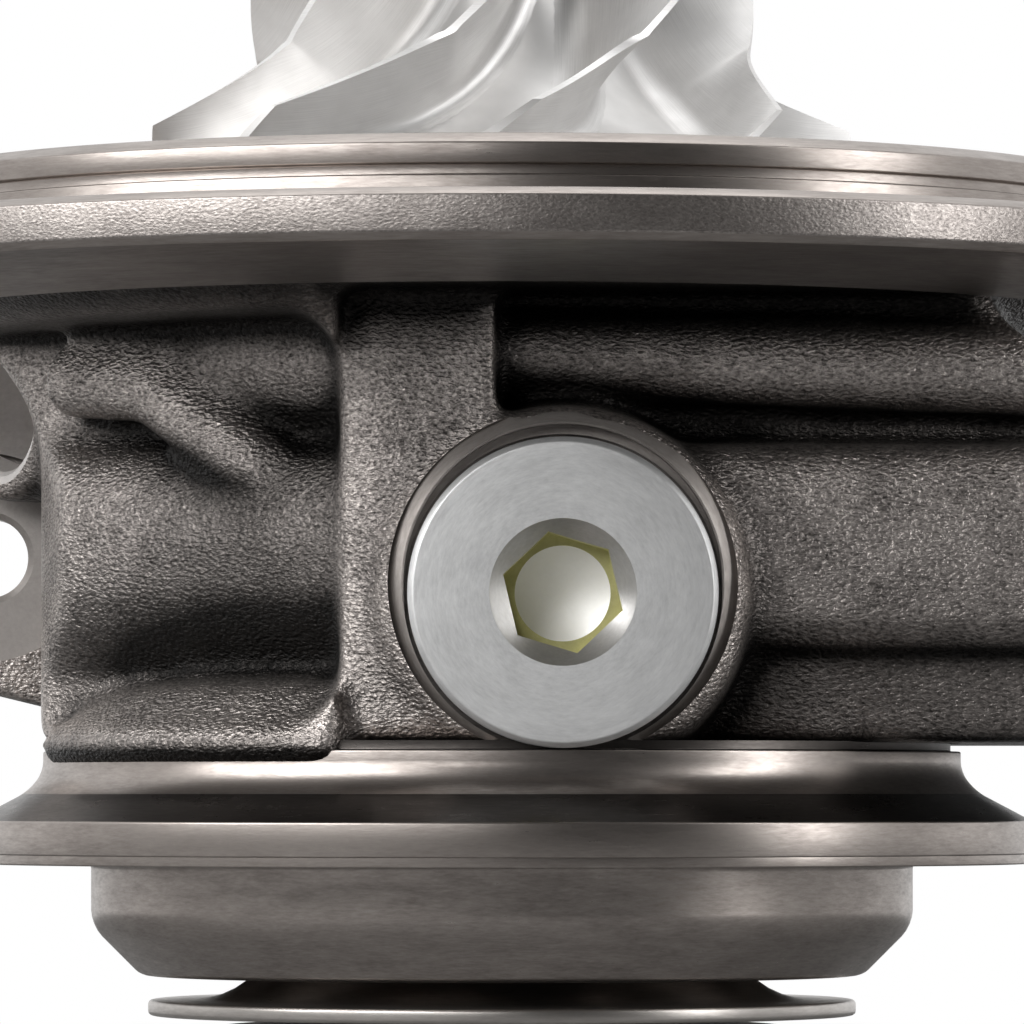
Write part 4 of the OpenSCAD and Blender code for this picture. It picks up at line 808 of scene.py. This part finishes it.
def compressorShroud(w, s):
    top = w["baseZ"] + w["tipH"] + w["bend"]
    if s < 0.5:
        r, z = bezier((w["radius"] - w["edge"], w["baseZ"] + w["tipH"]),
                      (w["inducerR"] + 0.15, w["baseZ"] + w["tipH"] + w["bend"] * 0.62), (w["inducerR"], top), 2 * s)
    else:
        r, z = w["inducerR"], top + (w["length"] - 0.6 - w["tipH"] - w["bend"]) * (2 * s - 1)
    return r, z, w["wrap"] * s


def turbineHub(w, s):
    a = math.radians(w["rootArc"] * s)
    rim = w["backZ"] - w["disc"]
    return (w["hubR"] + (w["radius"] - w["edge"] - w["hubR"]) * (1 - math.sin(a)),
            rim - (w["length"] - w["disc"]) * (1 - math.cos(a)), -w["wrap"] / 2 * s * s)


def turbineShroud(w, s):
    rim = w["backZ"] - w["disc"] - w["tipH"]
    r, z = bezier((w["radius"] - w["edge"], rim), (w["exducerR"] + 0.2, rim - 1),
                  (w["exducerR"], w["backZ"] - w["length"] + 0.7), s)
    return r, z, -w["wrap"] * s * s


def bladePoint(w, hub, shroud, s, across, side):
    a, b = hub(w, s), shroud(w, s)
    r, z, turned = [p + (q - p) * across for p, q in zip(a, b)]
    near, far = hub(w, max(s - 0.02, 0)), hub(w, min(s + 0.02, 1))
    nearTip, farTip = shroud(w, max(s - 0.02, 0)), shroud(w, min(s + 0.02, 1))
    run = [(q - p) * (1 - across) + (v - u) * across for p, q, u, v in zip(near, far, nearTip, farTip)]
    slant = math.hypot(run[0], run[1]) / max(math.hypot(run[0], run[1], r * math.radians(run[2])), 1e-9)
    off = across * math.hypot(b[0] - a[0], b[1] - a[1])
    gap = max(w["fillet"] - off, 0)
    flare = w["fillet"] - math.sqrt(max(w["fillet"] ** 2 - gap ** 2, 0))
    half = (w["rootT"] + (w["tipT"] - w["rootT"]) * across) / 2
    angle = math.radians(turned) + side * (half + flare) / slant / r
    return Vector((r * math.cos(angle), r * math.sin(angle), z)) * mm, Vector((s, off / 40, 0))


def bladeShell(w, hub, shroud):
    bm = bmesh.new()
    flow = bm.verts.layers.float_vector.new("flow")
    for side in (-1, 1):
        for vert in bmesh.ops.create_grid(bm, x_segments=w["rows"], y_segments=w["columns"], size=0.5)["verts"]:
            s, across = vert.co.x + 0.5, (vert.co.y + 0.5) ** 1.6
            vert.co, vert[flow] = bladePoint(w, hub, shroud, s, across, side)
    bmesh.ops.bridge_loops(bm, edges=[e for e in bm.edges if e.is_boundary])
    bmesh.ops.recalc_face_normals(bm, faces=bm.faces[:])
    return bm


def bladedWheel(w, hubProfile, hub, shroud, start):
    parts = [turn(hubProfile, closed=False, steps=180)]
    for n in range(w["blades"]):
        parts.append(placed(bladeShell(w, hub, shroud),
                            Matrix.Rotation(math.radians(start + 360 / w["blades"] * n), 4, "Z")))
    return join(parts)


def makeCompressorWheel(w):
    curve = [compressorHub(w, n / 24)[:2] for n in range(25)]
    curve[0] = (w["radius"], w["baseZ"])
    profile = [(w["boreR"], w["noseZ"]), (w["boreR"], w["backZ"]), (w["backR"], w["backZ"]),
               (w["radius"] - 4, w["baseZ"] - w["backT"], 0.4), (w["radius"], w["baseZ"] - w["backT"], 0.15)]
    profile += curve + [(w["hubR"], w["noseZ"], 0.5), (w["boreR"], w["noseZ"])]
    obj = makeObject("compressorWheel", bladedWheel(w, profile, compressorHub, compressorShroud, w["turned"]),
                     [metals["wheelAluminium"]])
    return dress(obj, "rotor", ["compressor_wheel"], sharp=40)


def makeTurbineWheel(w):
    curve = [turbineHub(dict(w, rootArc=90, edge=0), n / 20)[:2] for n in range(21)]
    exitZ = w["backZ"] - w["length"]
    profile = [(0, w["weldZ"]), (w["bossR"], w["weldZ"], 0.3), (w["bossR"] + 1, w["backZ"], 0.6),
               (w["radius"], w["backZ"], 0.2)] + curve
    profile += [(w["hubR"], exitZ - 1, 0.5), (w["hubR"] - 1, exitZ - 1.6, 0.4), (0, exitZ - 1.6)]
    nose = rod((0, 0, w["noseZ"]), (0, 0, exitZ), w["noseR"] * 0.87, segments=6)
    roundEdges(nose, nose.edges[:], w["noseEdge"], 3)
    bm = join([bladedWheel(w, profile, turbineHub, turbineShroud, 0), nose])
    obj = makeObject("turbineWheel", bm, [metals["nickelAlloy"]])
    return dress(obj, "rotor", ["turbine_wheel"], sharp=40)


makeCompressorWheel(compressorWheel)
makeTurbineWheel(turbineWheel)


# Nut and the shaft's threaded end
nut = dict(flats=10, height=6, flangeR=6.2, flangeH=1.5, seatZ=75.4, boreR=3.02)


def makeNut(c):
    corner = c["flats"] / 2 / math.cos(math.radians(30))
    seat, top, flange = c["seatZ"], c["seatZ"] + c["height"], c["flangeH"]
    bm = rod((0, 0, seat + flange * 0.5), (0, 0, top), corner, segments=6)
    obj = makeObject("compressorNut", bm, [metals["nutSteel"]])
    crown = turn([(0, seat), (corner + 1, seat), (corner + 1, top - 1.1), (corner - 0.75, top), (0, top)],
                 closed=False, steps=96)
    cut(obj, crown, metals["nutSteel"], "INTERSECT")
    collar = turn([(0, seat), (c["flangeR"], seat, 0.15), (c["flangeR"], seat + flange, 0.4),
                   (0, seat + flange + 0.4)], closed=False, steps=96)
    cut(obj, collar, metals["nutSteel"], "UNION")
    bore = turn([(0, seat - 1), (c["boreR"], seat - 1), (c["boreR"], top - 0.5), (c["boreR"] + 0.7, top + 0.2),
                 (0, top + 0.2)], closed=False, steps=72)
    cut(obj, bore, metals["nutSteel"])
    return dress(obj, "rotor", ["compressor_nut"])


makeNut(nut)

shaft = dict(top=83.4, stubR=3.0, pitch=0.8, threadFrom=76, threadDepth=0.4, journalR=4.5, waistR=4.1, waistLow=16.3,
             waistTop=22.7, waistSlope=0.5, collarZ=33.75, bossR=8.5, weldZ=-11.15, grooveLow=-6.0, grooveHigh=-3.6,
             grooveR=7.2, bossTop=-0.65)


def makeShaft(c):
    stub, root, top = c["stubR"], c["stubR"] - c["threadDepth"], c["top"]
    journal, waist, boss, slope = c["journalR"], c["waistR"], c["bossR"], c["waistSlope"]
    thread = []
    z = c["threadFrom"]
    while z < top - 1.4:
        thread += [(stub, z), (stub, z + 0.15), (root, z + 0.45), (root, z + 0.5)]
        z += c["pitch"]
    bm = turn([(0, c["weldZ"]), (boss, c["weldZ"]), (boss, c["grooveLow"], 0.1), (c["grooveR"], c["grooveLow"]),
               (c["grooveR"], c["grooveHigh"]), (boss, c["grooveHigh"], 0.1), (boss, c["bossTop"] - 2, 0.4),
               (journal + 1, c["bossTop"], 0.4), (journal, c["bossTop"] + 1), (journal, c["waistLow"]),
               (waist, c["waistLow"] + slope), (waist, c["waistTop"] - slope), (journal, c["waistTop"]),
               (journal, c["collarZ"]), (stub, c["collarZ"])] + thread + [
               (stub, top - 1.1), (stub, top - 0.6), (stub - 0.6, top, 0.15), (0.9, top, 0.1), (0, top - 0.9)],
              closed=False, steps=96)
    obj = makeObject("rotorShaft", bm, [metals["groundSteel"]])
    return dress(obj, "rotor", ["turbine_shaft"])


makeShaft(shaft)

# Inner pieces keep their frame meshes
innerFinish = {
    "seal_plate": "plateSteel", "seal_plate_o_ring": "sealRubber", "seal_plate_circlip": "springSteel",
    "oil_deflector": "plateSteel", "thrust_bearing": "bearingBronze", "thrust_bearing_pins": "groundSteel",
    "compressor_piston_ring": "springSteel", "turbine_piston_ring": "springSteel",
    "compressor_bearing_circlip": "springSteel", "turbine_bearing_inner_circlip": "springSteel",
    "turbine_bearing_outer_circlip": "springSteel", "compressor_journal_bearing": "bearingBronze",
    "turbine_journal_bearing": "bearingBronze", "thrust_collar": "groundSteel", "seal_sleeve": "groundSteel"}
for name, finish in innerFinish.items():
    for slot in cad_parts[name].material_slots:
        slot.material = metals[finish]
print("inner pieces finished")


# Studio: pale floor, white backdrop, soft boxes at the sides and a dark room in front
studio = dict(floorZ=-38.3, floorR=420, floorTone=(0.28, 0.30), floorGlow=0.55, floorShine=0.02, ambient=0.1,
              frontDark=0.02, target=(0, 0, 0.02), lamps=[
    ("leftBox", (-0.446, -0.322, 0.32), (0.54, 0.42), 4.0),
    ("rightStrip", (0.50, -0.22, 0.20), (0.14, 0.46), 1.2),
    ("frontBox", (-0.24, -0.72, 0.24), (0.34, 0.20), 0.75),
    ("topBox", (0.02, 0.20, 0.60), (0.50, 0.30), 0.65)])


def makeFloor(c):
    bm = bmesh.new()
    bmesh.ops.create_circle(bm, cap_ends=True, segments=128, radius=c["floorR"] * mm)
    bmesh.ops.translate(bm, vec=(0, 0, c["floorZ"] * mm), verts=bm.verts[:])
    material, tree, shader, place = newMaterial("paleFloor", 0.0, 0.7)
    speckle = addNode(tree, "ShaderNodeTexNoise", {"Vector": place, "Scale": 30.0}).outputs[0]
    stops = [(at, (tone, tone, tone)) for at, tone in zip((0.3, 0.7), c["floorTone"])]
    tree.links.new(ramp(tree, speckle, stops), shader.inputs["Base Color"])
    rays = addNode(tree, "ShaderNodeLightPath").outputs
    glossy = maths(tree, "MAXIMUM", rays["Is Glossy Ray"], rays["Is Transmission Ray"])
    glow = blend(tree, rays["Is Camera Ray"], c["floorGlow"], glossy, c["floorShine"])
    shader.inputs["Emission Color"].default_value = (1, 1, 1, 1)
    tree.links.new(glow, shader.inputs["Emission Strength"])
    floor = makeObject("floor", bm, [material])


def makeWorld(c):
    world = scene.world or bpy.data.worlds.new("studio")
    scene.world = world
    world.use_nodes = True
    tree = world.node_tree
    tree.nodes.clear()
    rays = addNode(tree, "ShaderNodeLightPath").outputs
    place = addNode(tree, "ShaderNodeTexCoord").outputs["Generated"]
    way = addNode(tree, "ShaderNodeSeparateXYZ", {0: place}).outputs
    room = span(tree, way[1], -0.5, 0.4, c["frontDark"], 1.0)
    glossy = maths(tree, "MAXIMUM", rays["Is Glossy Ray"], rays["Is Transmission Ray"])
    soft = blend(tree, glossy, room, maths(tree, "SUBTRACT", 1.0, glossy), c["ambient"])
    strength = maths(tree, "MAXIMUM", rays["Is Camera Ray"], soft)
    back = addNode(tree, "ShaderNodeBackground", {"Color": (1, 1, 1, 1), "Strength": strength})
    out = addNode(tree, "ShaderNodeOutputWorld")
    tree.links.new(back.outputs[0], out.inputs[0])


def makeLamps(c):
    for name, spot, size, power in c["lamps"]:
        light = bpy.data.lights.new(name, "AREA")
        light.shape = "RECTANGLE"
        light.size, light.size_y = size
        light.energy = power
        lamp = bpy.data.objects.new(name, light)
        lamp.location = spot
        lamp.rotation_euler = (Vector(c["target"]) - Vector(spot)).to_track_quat("-Z", "Y").to_euler()
        lamp.visible_camera = False
        scene.collection.objects.link(lamp)


makeFloor(studio)
makeWorld(studio)
makeLamps(studio)
scene.view_settings.view_transform = "Standard"

# Camera of the photograph: level with the V-band, tilted up a little
shot = dict(place=(0, -0.6255, 0.0056), lens=281.25, tiltUp=2.001, turnRight=0.0716)
lens = bpy.data.cameras.new("camera")
lens.lens = shot["lens"]
lens.sensor_width = 36
lens.clip_start = 0.01
camera = bpy.data.objects.new("camera", lens)
camera.location = shot["place"]
camera.rotation_euler = (math.radians(90 + shot["tiltUp"]), 0, -math.radians(shot["turnRight"]))
scene.collection.objects.link(camera)
scene.camera = camera
print("studio set")
